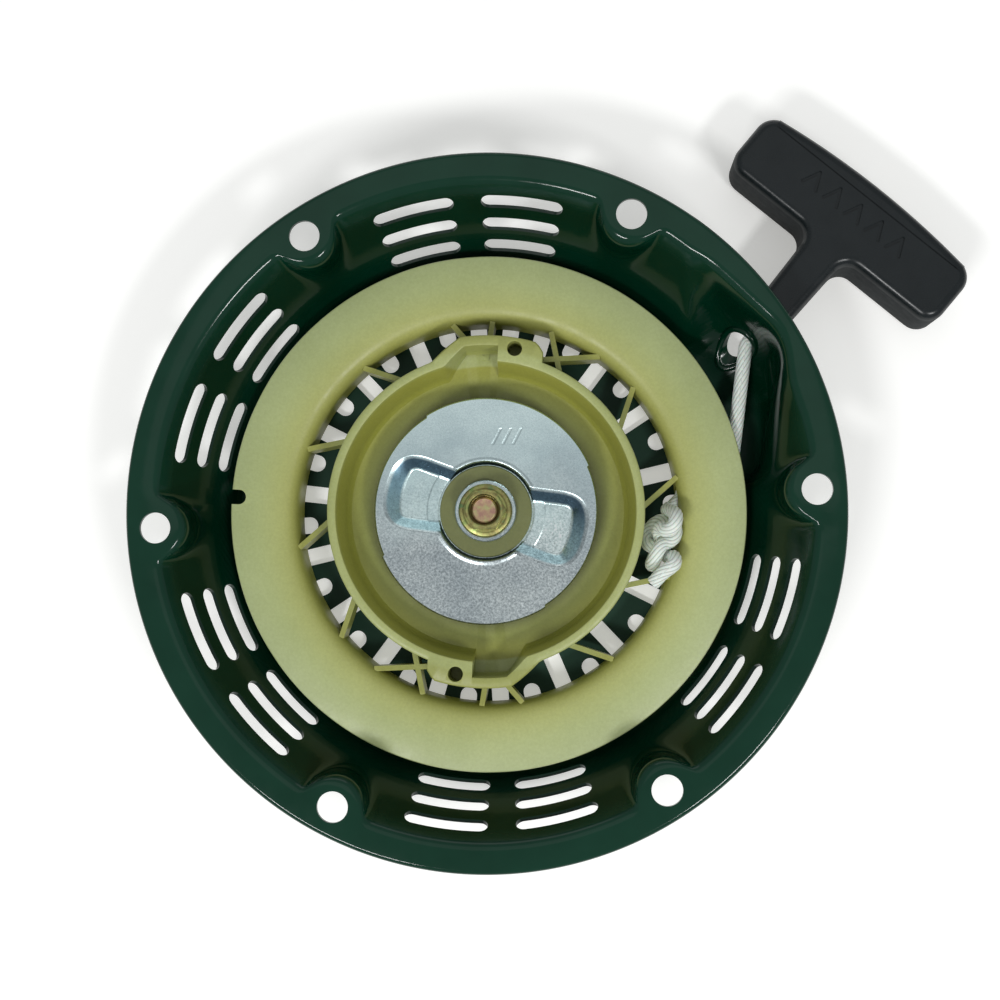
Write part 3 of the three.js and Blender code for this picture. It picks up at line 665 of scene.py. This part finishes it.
def rope_yarn():
    """Pale fibre, with painted shade in the grooves between the yarns; it reads the turn and the run on the
    mesh.
    """
    look = Look("rope_yarn", Roughness=0.55, Sheen_Weight=0.25, Subsurface_Weight=0.12,
                Subsurface_Scale=0.0008)
    turn, run = look.attribute("rope_turn"), look.attribute("rope_run")
    lay = look.math("SUBTRACT", turn, look.math("MULTIPLY", run, 2 * math.pi / YARN_LAY))
    groove = look.math("ABSOLUTE", look.math("SINE", look.math("MULTIPLY", lay, YARNS / 2)))
    fibre = look.math("SINE", look.math("MULTIPLY", lay, YARNS * 5))
    # Painted shade: darker and greener in the grooves between the yarns.
    look.color(look.ramp(groove, [
        (0.0, (0.34, 0.38, 0.33)), (0.25, (0.66, 0.72, 0.65)), (0.8, (0.84, 0.9, 0.83)),
        (1.0, (0.88, 0.94, 0.88))]))
    look.bump(fibre, 0.03, 0.6)
    look.bump(look.noise(3000, 3), 0.03, 0.4)
    return look.material


def black_plastic():
    """Satin plastic on the face, and a dull moulded grain below it."""
    look = Look("black_plastic", Specular_IOR_Level=0.33)
    look.color(look.ramp(look.noise(150, 6), [
        (0.3, (0.0075, 0.0105, 0.0115)), (0.72, (0.0105, 0.014, 0.0152))]))
    look.roughness(look.noise(500, 6), 0.2, 0.32, more=look.by_height(*GRIP_FACE_Z, 0.55, 0.0))
    look.bump(look.noise(1400, 4), 0.03, 0.4)
    return look.material


def floor_look():
    """A plain pale table top; its glow keeps it near white outside the case's shade."""
    look = Look("floor", Roughness=0.9, Emission_Strength=0.38, Emission_Color=(1, 0.99, 0.95, 1))
    look.color(look.ramp(look.noise(3), [(0.2, (0.78, 0.78, 0.77)), (0.8, (0.82, 0.82, 0.81))]))
    return look.material


STEEL_STOPS = [(0.3, (0.36, 0.37, 0.38)), (0.7, (0.5, 0.51, 0.52))]
SPRING_STOPS = [(0.3, (0.16, 0.17, 0.19)), (0.7, (0.27, 0.28, 0.30))]
LOOKS = {
    "green_paint": green_paint(),
    "nylon": nylon(),
    "zinc": plated_zinc(),
    "steel": bare_metal("steel", STEEL_STOPS, (0.3, 0.5)),
    "spring_steel": bare_metal("spring_steel", SPRING_STOPS, (0.25, 0.4)),
    "yellow_zinc": yellow_zinc(),
    "rope": rope_yarn(),
    "black_plastic": black_plastic(),
}


def paint(obj, slot):
    obj.data.materials.clear()
    obj.data.materials.append(LOOKS[slot])


def dress(obj, body, slot, node):
    """Gives a piece its look and its body, and hides the CAD node that it stands for."""
    paint(obj, slot)
    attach(obj, body)
    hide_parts(node)


# ---- case ----
def least(a, b, bend):
    """The smaller of two depths, with the corner between them rounded."""
    h = np.maximum(bend - np.abs(a - b), 0) / bend
    return np.minimum(a, b) - h * h * bend / 4


def most(a, b, bend):
    return -least(-a, -b, bend)


def inside_pocket(x, y, z):
    """Depth inside the pocket that the rope leaves by: ramp, wall above it, rising floor, three sides."""
    out, left = polar(1, PULL_ANGLE), polar(1, PULL_ANGLE + 90)
    u, v = x * out[0] + y * out[1], x * left[0] + y * left[1]
    dx, dy = x - MOUTH[0], y - MOUTH[1]
    across, ahead = polar(1, LEAVE_ANGLE), polar(1, LEAVE_ANGLE + 90)
    beside = EXIT_ROPE_ROOM - (dx * across[0] + dy * across[1])
    behind = EXIT_LENGTH + (dx * ahead[0] + dy * ahead[1])
    left_side = EXIT_LEFT_SIDE + EXIT_LEFT_LEAN * (z - PULL_Z) - v
    ramp = (EXIT_RAMP_U + z - PULL_Z - u) / math.sqrt(2)
    wall = EXIT_WALL_U + EXIT_WALL_LEAN * (z - EXIT_WALL_Z) - u
    floor = z - EXIT_FLOOR_Z - EXIT_FLOOR_RISE * (u - EXIT_FLOOR_U)
    sides = least(least(beside, behind, EXIT_CORNER_BEND), left_side, EXIT_CORNER_BEND)
    end = least(ramp, wall, EXIT_FOOT_BEND)
    return least(least(end, sides, EXIT_SIDE_BEND), floor, EXIT_FOOT_BEND)


def inside_case(x, y, z):
    """Depth inside the pressing's engine-side surface at a point; negative beyond it."""
    r = np.hypot(x, y)
    cone = (WALL_TOP_R - WALL_SLOPE * (FLANGE_Z - z) - r) / math.hypot(1, WALL_SLOPE)
    bowl = most(cone, inside_pocket(x, y, z), EXIT_CORNER_BEND)
    holes = [polar(HOLE_CIRCLE_R, HOLE_START + 360 / HOLES * i) for i in range(HOLES)]
    nearest = np.min([np.hypot(x - h[0], y - h[1]) for h in holes], axis=0)
    return least(bowl, nearest - LOBE_R - LOBE_TAPER * (FLANGE_Z - z), LOBE_BEND)


def last_inside(inside, near, far, halvings):
    """Halves the ranges from near to far, and gives the furthest distances that are still inside."""
    for _ in range(halvings):
        middle = (near + far) / 2
        within = inside(middle)
        near, far = np.where(within, middle, near), np.where(within, far, middle)
    return near


def wall_radius(angles, z, offset):
    """Where the bowl's wall lies at a height, moved outwards through the sheet by offset."""
    c, s = np.cos(np.radians(angles)), np.sin(np.radians(angles))
    near, far = (np.full_like(c, end) for end in WALL_SEARCH)
    return last_inside(lambda r: inside_case(r * c, r * s, z) > -offset, near, far, 26)


def case_side(angles, offset):
    """One side of the sheet from the flange inwards, as rows of (radii, heights).

    Offset 0 is the engine side.
    """
    def lean(z):
        return np.arctan((wall_radius(angles, z + 1, offset) - wall_radius(angles, z - 1, offset)) / 2)

    rows = []
    bend = FLANGE_BEND_R - offset
    z = FLANGE_Z - offset - bend
    rise = lean(z)
    bend_r = wall_radius(angles, z, offset) + bend / np.cos(rise)
    for part in np.linspace(1, 0, 8):
        a = rise + (np.pi / 2 - rise) * part
        rows.append((bend_r - bend * np.cos(a), z + bend * np.sin(a)))
    for z in np.linspace(*WALL_Z, 20):
        rows.append((wall_radius(angles, z, offset), np.full_like(angles, z)))
    corner = FRONT_BEND_R + offset
    z = SHEET + FRONT_BEND_R
    fall = lean(z)
    corner_r = wall_radius(angles, z, offset) - corner / np.cos(fall)
    for part in np.linspace(0, 1, 10):
        a = fall + (np.pi / 2 - fall) * part
        rows.append((corner_r + corner * np.cos(a), z - corner * np.sin(a)))
    rows.append((np.full_like(angles, RIVET_HOLE_R), np.full_like(angles, SHEET - offset)))
    return rows


def case_shell():
    """The pressing without its holes, as rows round the axis: lip, engine side, front side."""
    angles = np.arange(0, 360, 0.75)
    flat = np.ones_like(angles)
    lip_z = FLANGE_Z - LIP_DROP
    edge = [(FLANGE_R - SHEET, lip_z), (FLANGE_R - 0.3, lip_z), (FLANGE_R, lip_z + 0.3)]
    edge += [(FLANGE_R - inset, FLANGE_Z - drop) for inset, drop in quarter_round(FLANGE_EDGE_R, 5)]
    rows = [(flat * r, flat * z) for r, z in edge]
    rows += case_side(angles, 0) + case_side(angles, SHEET)[::-1]
    rows.append((flat * (FLANGE_R - SHEET), flat * (FLANGE_Z - SHEET)))
    c, s = np.cos(np.radians(angles)), np.sin(np.radians(angles))
    rings = np.stack([np.stack([r * c, r * s, z], 1) for r, z in rows], 1)
    return loft("case_shell", rings, looped=True)


def wall_slot(angle, depth):
    """A cutter for one round-ended slot along the wall, at a depth below the flange."""
    r = WALL_TOP_R - WALL_SLOPE * depth
    nr, nz = np.array([1, -WALL_SLOPE]) / math.hypot(1, WALL_SLOPE)
    end_r = SLOT_WIDTH / 2
    half = math.radians(SLOT_SPAN / 2) * r - end_r
    lower = [(x, -end_r) for x in np.linspace(-half, half, 9)]
    lower += [(half + end_r * math.cos(a), end_r * math.sin(a))
              for a in np.radians(np.linspace(-90, 90, 11)[1:-1])]
    outline = lower + [(-x, -y) for x, y in lower]
    rings = []
    for offset in (-2, 4):
        rings.append([polar(r - y * nz + offset * nr, angle + math.degrees(x / r),
                            FLANGE_Z - depth + y * nr + offset * nz) for x, y in outline])
    return loft("cutter", rings)


def eyelet_bead():
    """The raised bead round the eyelet, a round rod that lies on the ramp."""
    ring = np.array(circle(EYELET_R + BEAD_R, 60))

    def inside(distances):
        at = np.array([pull(u, EYELET_SIDE + x, 0) for u, x in zip(distances, ring[:, 0])])
        return inside_case(at[:, 0], at[:, 1], PULL_Z + ring[:, 1]) > 0

    near, far = (np.full(len(ring), end) for end in RAMP_SEARCH)
    on_ramp = last_inside(inside, near, far, 24)
    line = [pull(u, EYELET_SIDE + x, PULL_Z + y) for u, (x, y, _) in zip(on_ramp, ring)]
    rings = sweep([line[-1], *line, line[0]], BEAD_R, 16)[0]
    return loft("bead", rings[1:-1], looped=True)


def make_case():
    shell = case_shell()
    combine(shell, [eyelet_bead()], "UNION")
    way = rope_way([lead_point(0.75), MOUTH, pull(STEM_U, PULL_SIDE, PULL_Z)], 32)
    combine(shell, [way], "DIFFERENCE")
    eyelet = circle(EYELET_R, 48, (EYELET_SIDE - PULL_SIDE, 0, 0))
    cutters = [along_pull(prism("cutter", eyelet, -10, 6), MOUTH_U)]
    for hole in range(HOLES):
        angle = HOLE_START + 360 / HOLES * hole
        outline = circle(HOLE_R, 40, polar(HOLE_CIRCLE_R, angle))
        cutters.append(prism("cutter", outline, FLANGE_Z - 5, FLANGE_Z + 5))
        if hole == 0:
            continue  # the rope leaves here, so this stretch of the wall has no slots
        for row in range(SLOT_ROWS):
            for side in (-SLOT_OFFSET, SLOT_OFFSET):
                depth = SLOT_ROW_DEPTH + SLOT_ROW_PITCH * row
                cutters.append(wall_slot(angle + 180 / HOLES + side, depth))
    for i in range(FACE_SLOTS):
        for start, inner in ((LONG_SLOT_START, LONG_SLOT_IN), (SHORT_SLOT_START, SHORT_SLOT_IN)):
            ends = [polar(r, start + 360 / FACE_SLOTS * i)
                    for r in (inner + FACE_SLOT_WIDTH / 2, FACE_SLOT_OUT - FACE_SLOT_WIDTH / 2)]
            cutters.append(prism("cutter", capsule(*ends, FACE_SLOT_WIDTH), -2, 4))
    combine(shell, cutters, "DIFFERENCE")
    dress(shade(shell, 38), "housing", "green_paint", "case")


# ---- reel ----
def rib_between(a, b):
    a, b = polar(*a), polar(*b)
    across = np.array([a[1] - b[1], b[0] - a[0], 0]) / np.linalg.norm(b - a) * RIB_THICK / 2
    return prism("rib", [a - across, b - across, b + across, a + across], *RIB_Z)


def reel_ribs():
    """The ribs from the cup to the drum: an even row of them, and two beside each bulge."""
    (in_r, in_angle), (out_r, out_angle) = RIB_IN, RIB_OUT
    turns = [360 / RIBS * i for i in range(RIBS)]
    ribs = [rib_between((in_r, in_angle + turn), (out_r, out_angle + turn)) for turn in turns]
    for half in (0, 180):
        for a, b in BULGE_RIBS:
            ribs.append(rib_between((a[0], a[1] + half), (b[0], b[1] + half)))
    return ribs


def cup_wall():
    """The cup with its two bulges, as sections whose radii change round the axis."""
    bulge_angles = [0, 69, 70, 73, 98.5, 110, 180]
    bulge_radii = [CUP_R, CUP_R, BULGE_STEP_R, BULGE_R, BULGE_R, CUP_R, CUP_R]
    pocket_angles = [0, 85.4, 85.6, 97.5, 106, 180]
    pocket_shares = [0, 0, 1, 1, 0, 0]
    corner_angles = [69, 69.5, 70, 71, 72, 85.4, 85.45, 85.5, 85.55, 85.6, 97.5, 98.5]
    half_turn = np.concatenate([np.arange(0, 180, 1.5), corner_angles])
    angles = np.unique(np.round(np.concatenate([half_turn, half_turn + 180]), 3))
    z, rim, under = CUP_FLOOR_Z, CUP_RIM_Z, CUP_FLOOR_Z - REEL_WEB
    rings = []
    for a in angles:
        out = np.interp(a % 180, bulge_angles, bulge_radii)
        share = np.interp(a % 180, pocket_angles, pocket_shares)
        wall, foot, floor = CUP_INSIDE + share * POCKET_ADDS
        section = [
            (out - 0.8, CUP_SKIRT_Z), (out - 0.05, rim - 0.9), (out - 0.2, rim - 0.3), (out - 0.6, rim),
            (wall + 0.5, rim), (wall + 0.15, rim - 0.15), (wall, rim - 0.5),
            (foot + 0.35, z + 2.6), (foot, z + 1.4), (foot - 0.5, z + 0.6),
            ((foot + floor) / 2, z + 0.12), (floor, z),
            (HUB_R + 0.2, z), (HUB_R, z + 0.2), (HUB_R, HUB_Z - 0.2), (HUB_R - 0.2, HUB_Z), (BORE_R, HUB_Z),
            (BORE_R, under), (SPRING_ROOM_R, under), (SPRING_ROOM_R, CUP_SKIRT_Z),
        ]
        rings.append([polar(r, a, z) for r, z in section])
    return loft("cup", rings, looped=True)


def reel_body():
    """The drum and its two flanges, as one turned profile."""
    low, high = GROOVE_Z
    top = high + REEL_WEB
    return turned("reel_body", [
        (DRUM_IN_R, low - REEL_WEB), (REEL_LOWER_R, low - REEL_WEB), (REEL_LOWER_R, low), (DRUM_R, low),
        (DRUM_R, high), (REEL_R - 0.2, high), (REEL_R, high + 0.2), (REEL_R, top - 0.7),
        (REEL_R - 0.2, top - 0.2), (REEL_R - 0.7, top), (DRUM_R + 4.8, top), (DRUM_R + 3.2, top - 0.08),
        (DRUM_R + 1.9, top - 0.32), (DRUM_R + 0.8, top - 0.78), (DRUM_R, top - 1.4),
        (DRUM_R - 0.6, top - 2.1), (DRUM_R - 1.1, top - 3.0), (DRUM_R - 1.45, top - 4.2),
        (DRUM_IN_R + 0.2, top - 5.6),
    ], 240)


def upright(name, radius, sides, at, z0, z1):
    """A round peg or cutter whose middle is at (r, angle)."""
    return prism(name, circle(radius, sides, polar(*at)), z0, z1)


def make_reel():
    reel = reel_body()
    sunk = CUP_FLOOR_Z - 1
    pieces = [cup_wall(), *reel_ribs()]
    for i in range(MARKS):
        at = (MARK_START[0], MARK_START[1] + 360 / MARKS * i)
        pieces.append(upright("mark", MARK_R, 32, at, sunk, CUP_FLOOR_Z + MARK_HEIGHT))
    for half in (0, 180):
        at = (PAWL_PIVOT[0], PAWL_PIVOT[1] + half)
        pieces.append(upright("pin", PAWL_PIN_R, 24, at, sunk, PAWL_PIN_Z))
    pieces.append(upright("pin", SPRING_PIN_R, 20, SPRING_PIN, SPRING_PIN_Z, sunk))
    for piece in pieces:
        combine(reel, [piece], "UNION")

    under_rim = GROOVE_Z[1] - 1
    notch = capsule(polar(REEL_R - 2, NOTCH_ANGLE), polar(REEL_R + 6, NOTCH_ANGLE), NOTCH_WIDTH)
    cutters = [upright("cutter", RIM_HOLE_R, 32, (RIM_HOLE[0], RIM_HOLE[1] + half), 13, CUP_RIM_Z + 1)
               for half in (0, 180)]
    cutters.append(prism("cutter", notch, under_rim, under_rim + 4))
    combine(reel, cutters, "DIFFERENCE")
    way = rope_way([polar(48, -0.8, RUN_Z), *DRUM_PASS, coil_point(COIL_FROM), coil_point(0.06)], 24)
    combine(reel, [way], "DIFFERENCE")
    dress(shade(reel, 38), "reel", "nylon", "reel")


# ---- rope ----
def coil_point(turn):
    """Each turn lies beside the one under it, and they change sides where they all cross."""
    angle = COIL_START + 360 * turn
    away = (angle - COIL_CROSSING + 180) % 360 - 180
    lean = math.tanh(away / CROSSING_SPREAD)
    passed = -1 if round((angle - away - COIL_CROSSING) / 360) % 2 else 1
    width = 2 * ROPE_R + 0.02
    pitch = math.sqrt(width**2 - (2 * COIL_SWAY * lean) ** 2)
    flat = math.sqrt(width**2 - (2 * COIL_SWAY) ** 2)
    spare = (COIL_OUT_R - COIL_IN_R) / COIL_TURNS - flat
    return polar(COIL_IN_R + turn * (pitch + spare), angle, PULL_Z + passed * lean * COIL_SWAY)


def lead_point(part):
    """A point on the rope's straight run from the coil, at 0, to the eyelet's mouth, at 1."""
    leave = coil_point(COIL_TURNS)
    return leave + (MOUTH - leave) * part


def rope(name, points):
    """A laid rope: its yarns bulge along the surface, and the look reads the turn and run on it."""
    rings, angles = sweep(points, ROPE_R, 60)
    run = run_along(points)
    centre = rings.mean(1, keepdims=True)
    phase = YARNS / 2 * (angles[None, :] - 2 * math.pi / YARN_LAY * run[:, None])
    bulge = 1 - YARN_BULGE + YARN_BULGE * np.abs(np.sin(phase)) ** 0.6
    obj = loft(name, centre + (rings - centre) * bulge[:, :, None])
    for key, values in (("rope_turn", angles), ("rope_run", run[:, None])):
        layer = obj.data.attributes.new(key, "FLOAT", "POINT")
        spread = np.broadcast_to(values, bulge.shape).astype(np.float32)
        layer.data.foreach_set("value", spread.ravel())
    return shade(obj, 70)


def knot_line(tail, working_end):
    """An overhand knot: a trefoil opened at the top of one loop."""
    t = np.linspace(KNOT_OPENING, 2 * np.pi - KNOT_OPENING, 37)
    reach = KNOT_R + KNOT_TUBE_R * np.cos(3 * t)
    loops = np.stack([-reach * np.sin(2 * t), reach * np.cos(2 * t), KNOT_TUBE_R * np.sin(3 * t)], 1)
    return spline(np.vstack([tail, loops, working_end]), 0.35)


def make_rope_turns():
    turns = [coil_point(t) for t in np.linspace(COIL_FROM, COIL_TURNS, 240)]
    dress(rope("rope_turns", spline([*DRUM_PASS, *turns], 0.6)), "reel", "rope", "rope_coil")


def make_rope_to_eyelet():
    lead = [lead_point(part) for part in (0.012, 0.5, 0.96)]
    lead += [pull(u, PULL_SIDE, PULL_Z) for u in (MOUTH_U + 1, STEM_U - 0.2)]
    dress(rope("rope_to_eyelet", spline(lead, 0.35)), "housing", "rope", "rope_lead")


def make_rope_end_knot():
    """The knot that leans out of the reel, with its working end led to the hole in the drum."""
    r, angle, z = REEL_KNOT
    lean = math.radians(REEL_KNOT_LEAN)
    out, high = polar(1, angle), np.array([0.0, 0.0, 1.0])
    up = out * math.sin(lean) + high * math.cos(lean)
    through = out * math.cos(lean) - high * math.sin(lean)
    axes = np.array([polar(1, angle + 90), up, through])
    origin = polar(r, angle, z)
    to_drum = [axes @ (p - origin) for p in (polar(48.4, 0.6, 11.2), polar(49.2, 1.6, 9.4))]
    tail = [[-11, 3.4, -2.4], [-8, 5.4, -1.2], [-5.2, 6.6, 1]]
    line = knot_line(tail, [[5, 6.8, -1], [7.9, 4.6, 0], *to_drum])
    dress(rope("rope_end_knot", origin + line @ axes), "reel", "rope", "rope_reel_knot")


def make_rope_in_handle():
    """The knot in the handle, and the stretch from it to the eyelet."""
    to_eyelet = PULL_KNOT_U - STEM_U - 0.2
    line = knot_line([[-7, 6.5, 0.6], [-5, 6.6, 1.4]],
                     [[2.6, 6.2, -1.2], [0.4, 8.6, -0.1], [0, 10.5, 0], [0, 18, 0], [0, to_eyelet, 0]])
    points = np.array([pull(PULL_KNOT_U - y, PULL_SIDE + x, PULL_Z + z) for x, y, z in line])
    stretch = rope("rope_in_handle", points)
    paint(stretch, "rope")
    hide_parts("rope_pull")
    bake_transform(stretch)


# ---- ratchet guide ----
def ease(value, start, stop):
    t = np.clip((value - start) / (stop - start), 0, 1)
    return t * t * (3 - 2 * t)


def stamp_shape(x, y):
    """1 in three short slanted strokes and 0 away from them."""
    dx, dy = x - STAMP[0], y - STAMP[1]
    off_middle = np.abs(STROKE_ACROSS[0] * dx + STROKE_ACROSS[1] * dy)
    off_stroke = np.minimum(off_middle, np.abs(off_middle - STROKE_PITCH))
    return 1 - ease(np.maximum(off_stroke, np.abs(dy) - STROKE_REACH), *STROKE_EDGE)


def guide_height(x, y):
    """Height of the plate's top: a bow-tie pressed into it, a collar round the bore, and a stamp."""
    turn = math.radians(RECESS_ANGLE)
    along = np.abs(x * math.cos(turn) + y * math.sin(turn))
    across = np.abs(y * math.cos(turn) - x * math.sin(turn))
    r = np.hypot(x, y)
    inside = -most(across - (RECESS_HALF + RECESS_FLARE * along), r - RECESS_R, RECESS_BEND)
    beyond_pad = most(across - (PAD_HALF + PAD_FLARE * along), r - PAD_R, PAD_BEND)
    slope = np.clip(inside / (np.maximum(inside, 0) + np.maximum(beyond_pad, 0) + 0.001), 0, 1)
    wing = 0.8 * slope + 0.2 * ease(slope, 0, 1)
    collar = ease(-r, -(COLLAR_R + COLLAR_SLOPE), -COLLAR_R)
    pressed = RECESS_DEPTH * np.maximum(wing, collar)
    pressed -= STEP_HEIGHT * ease(-r, -(STEP_R + 0.4), -STEP_R) * ease(wing, 0.85, 1) * (1 - collar)
    off_bead = (r - COLLAR_R - COLLAR_BEAD_OUT) / COLLAR_BEAD_WIDTH
    bead = COLLAR_BEAD_HEIGHT * np.exp(-(off_bead**2)) * (1 - ease(wing, 0, 0.3))
    return GUIDE_TOP_Z - pressed + bead - STAMP_DEPTH * stamp_shape(x, y)


def make_guide():
    angles = np.arange(0, 360, 0.6)
    lobe = (angles % 180 >= GUIDE_LOBE[0]) & (angles % 180 <= GUIDE_LOBE[1])
    rim = np.where(lobe, GUIDE_LOBE_R, GUIDE_R)
    c, s = np.cos(np.radians(angles)), np.sin(np.radians(angles))
    top, under = [], []
    for part in np.linspace(0, 1, 130):
        r = BORE_R + (rim - GUIDE_EDGE - BORE_R) * part
        z = guide_height(r * c, r * s)
        top.append(np.stack([r * c, r * s, z], 1))
        under.append(np.stack([r * c, r * s, z - GUIDE_SHEET], 1))
    edge = [np.stack([rim * c, rim * s, np.full_like(c, GUIDE_TOP_Z - drop)], 1)
            for drop in (GUIDE_EDGE, GUIDE_SHEET - 0.2)]
    guide = loft("guide_plate", np.stack(top + edge + under[::-1], 1), looped=True)
    pegs = [upright("peg", PEG_R, 24, (PEG[0], PEG[1] + half), PEG_Z, GUIDE_TOP_Z - 1)
            for half in (0, 180)]
    combine(guide, pegs, "UNION")
    dress(shade(guide, 45), "guide", "zinc", "ratchet_guide")


# ---- bolt and washers ----
def make_bolt():
    z, r = BOLT_SEAT_Z, BOLT_FLANGE_R
    flange = turned("flange_bolt", [
        (0.01, z), (r - 0.2, z), (r, z + 0.2), (r, z + 0.7), (r - 0.4, z + 1.1), (5.5, z + 1.4),
        (0.01, z + 1.4)])
    hexagon = prism("hexagon", circle(HEXAGON_ACROSS / math.sqrt(3), 6), z + 1, z + BOLT_HEIGHT)
    crown = turned("crown", [
        (0.01, z + 0.9), (5.9, z + 0.9), (5.9, z + 5.2), (5.0, z + 5.85), (4.75, z + 6), (4.35, z + 6),
        (4.1, z + 5.85), (3.95, z + 5.0), (3.6, z + 4.75), (3.25, z + 5.1), (2.9, z + 5.3), (1.5, z + 5.1),
        (0.01, z + 5.2)])
    shank = prism("shank", circle(SHANK_R, 32), SHANK_Z, z + 0.5)
    combine(hexagon, [crown], "INTERSECT")
    combine(flange, [hexagon], "UNION")
    combine(flange, [shank], "UNION")
    dress(shade(flange, 30), "housing", "yellow_zinc", "centre_bolt")


def washer(name, hole, r, z0, z1):
    e = WASHER_EDGE
    profile = [(hole, z0), (r - e, z0), (r, z0 + e), (r, z1 - 2 * e), (r - 2 * e, z1), (hole + e, z1),
               (hole, z1 - e)]
    return shade(turned(name, profile))


def make_washers():
    dress(washer("collar_washer", *COLLAR_WASHER), "housing", "zinc", "clamp_washer")
    dress(washer("thrust_washer", *THRUST_WASHER), "housing", "nylon", "friction_washer")


# ---- handle ----
def rounded(corners, inset):
    """A closed outline of (x, y, radius) corners moved inwards by inset, its corners rounded."""
    outline = []
    for i, (x, y, radius) in enumerate(corners):
        corner = np.array([x, y])
        come = corner - np.array(corners[i - 1][:2])
        go = np.array(corners[(i + 1) % len(corners)][:2]) - corner
        come, go = come / np.linalg.norm(come), go / np.linalg.norm(go)
        turn = math.atan2(come[0] * go[1] - come[1] * go[0], come @ go)
        inward = np.array([-come[1] - go[1], come[0] + go[0]]) / (1 + come @ go)
        moved = corner + inward * inset
        if not radius:
            outline.append(moved)
            continue
        bend = math.copysign(max(radius - math.copysign(inset, turn), 0.3), turn)
        centre = moved + inward * bend
        for a in turn * np.linspace(0, 1, 11):
            spun = np.array([math.cos(a) * come[1] + math.sin(a) * come[0],
                             math.sin(a) * come[1] - math.cos(a) * come[0]])
            outline.append(centre + bend * spun)
    return outline


def grip_outline(inset):
    """The T in plan: x across the head and y along the pull."""
    near, far = GRIP_U
    half = GRIP_LENGTH / 2
    stem_foot, stem_root = STEM_WIDTH[0] / 2, STEM_WIDTH[1] / 2
    crown = [(part * half, far + GRIP_CROWN * (1 - part**2), 0) for part in np.linspace(0.9, 0.1, 9)]
    right = [(stem_foot, STEM_U, 1.5), (stem_root, near, 4.5), (half, near, 5), (half, far, 5.5), *crown]
    left = [(-x, y, r) for x, y, r in right[::-1]]
    return rounded([*right, (0, far + GRIP_CROWN, 0), *left], inset)


def grip_arrow(x):
    """Cutters for the two strokes of one arrow head on the grip's engine side."""
    y = GRIP_U[1] - ARROW_INSET
    face = GRIP_THICK / 2
    strokes = []
    for side in (-1, 1):
        outline = capsule((x + ARROW_HALF * side, y - ARROW_LENGTH, 0), (x, y, 0), ARROW_STROKE)
        levels = (face - ARROW_DEPTH, face + 1)
        strokes.append(loft("cutter", [[(p[0], level, p[1]) for p in outline] for level in levels]))
    return strokes


def make_handle():
    edge = quarter_round(GRIP_EDGE_R, 9)
    levels = [(inset, drop - GRIP_THICK / 2) for inset, drop in edge[::-1]]
    levels += [(inset, GRIP_THICK / 2 - drop) for inset, drop in edge]
    grip = loft("grip", [[(x, height, y) for x, y in grip_outline(inset)] for inset, height in levels])
    wide, tall = KNOT_ROOM_SIZE
    corners = [(wide / 2 * a, tall / 2 * b) for a, b in ((-1, -1), (1, -1), (1, 1), (-1, 1))]
    cutters = [prism("cutter", corners, KNOT_ROOM_U, GRIP_U[1] + 8)]
    cutters.append(prism("cutter", circle(STEM_HOLE_R, 32), STEM_U - 1, KNOT_ROOM_U + 1))
    for i in range(ARROWS):
        cutters += grip_arrow(ARROW_PITCH * (i - (ARROWS - 1) / 2))
    for cutter in cutters:
        combine(grip, [cutter], "DIFFERENCE")
    grip = shade(along_pull(grip, 0), 38, level_flat=True)
    dress(grip, "handle", "black_plastic", "handle_grip")


make_case()
make_reel()
make_rope_turns()
make_rope_to_eyelet()
make_rope_end_knot()
make_rope_in_handle()
make_guide()
make_bolt()
make_washers()
make_handle()

# ---- CAD nodes that show as they are ----
CARRIED = {
    "centre_post": "steel",
    "recoil_spring": "spring_steel",
    "pawl_1": "steel",
    "pawl_2": "steel",
    "pawl_spring_1": "spring_steel",
    "pawl_spring_2": "spring_steel",
    "friction_spring": "spring_steel",
    "handle_retainer": "zinc",
}
for node, slot in CARRIED.items():
    paint(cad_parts[node], slot)


# ---- floor, light and camera ----
def make_floor():
    bpy.ops.mesh.primitive_plane_add(size=FLOOR_SIZE, location=(0, 0, FLOOR_Z))
    floor = bpy.context.object
    floor.name = "floor"
    floor.data.materials.append(floor_look())


def make_sky():
    world = bpy.data.worlds.new("studio")
    bpy.context.scene.world = world
    world.use_nodes = True
    background = world.node_tree.nodes["Background"]
    background.inputs["Color"].default_value = SKY_COLOR
    background.inputs["Strength"].default_value = SKY_STRENGTH


def make_light(name, location, size, power):
    """A rectangular soft light that faces the middle of the stage."""
    light = bpy.data.lights.new(name, "AREA")
    light.shape = "RECTANGLE"
    light.size, light.size_y = size
    light.energy = power
    obj = bpy.data.objects.new(name, light)
    bpy.context.scene.collection.objects.link(obj)
    obj.location = location
    obj.rotation_euler = (Vector(STAGE_CENTRE) - Vector(location)).to_track_quat("-Z", "Y").to_euler()


def make_camera():
    data = bpy.data.cameras.new("camera")
    camera = bpy.data.objects.new("camera", data)
    bpy.context.scene.collection.objects.link(camera)
    rx, ry, rz = CAMERA_TILT
    turn = Matrix.Rotation(rx, 3, "X") @ Matrix.Rotation(ry, 3, "Y") @ Matrix.Rotation(rz, 3, "Z")
    back = turn.transposed()
    slide_x, slide_y = CAMERA_SLIDE
    eye = back @ Vector((-slide_x, -slide_y, CAMERA_DISTANCE)) + Vector(STAGE_CENTRE)
    camera.matrix_world = Matrix.Translation(eye) @ back.to_4x4()
    data.lens = CAMERA_LENS
    data.sensor_width = SENSOR_WIDTH
    bpy.context.scene.camera = camera


make_floor()
make_sky()
for name, (location, size, power) in LIGHTS.items():
    make_light(name, location, size, power)
make_camera()
bpy.context.scene.view_settings.view_transform = "Standard"
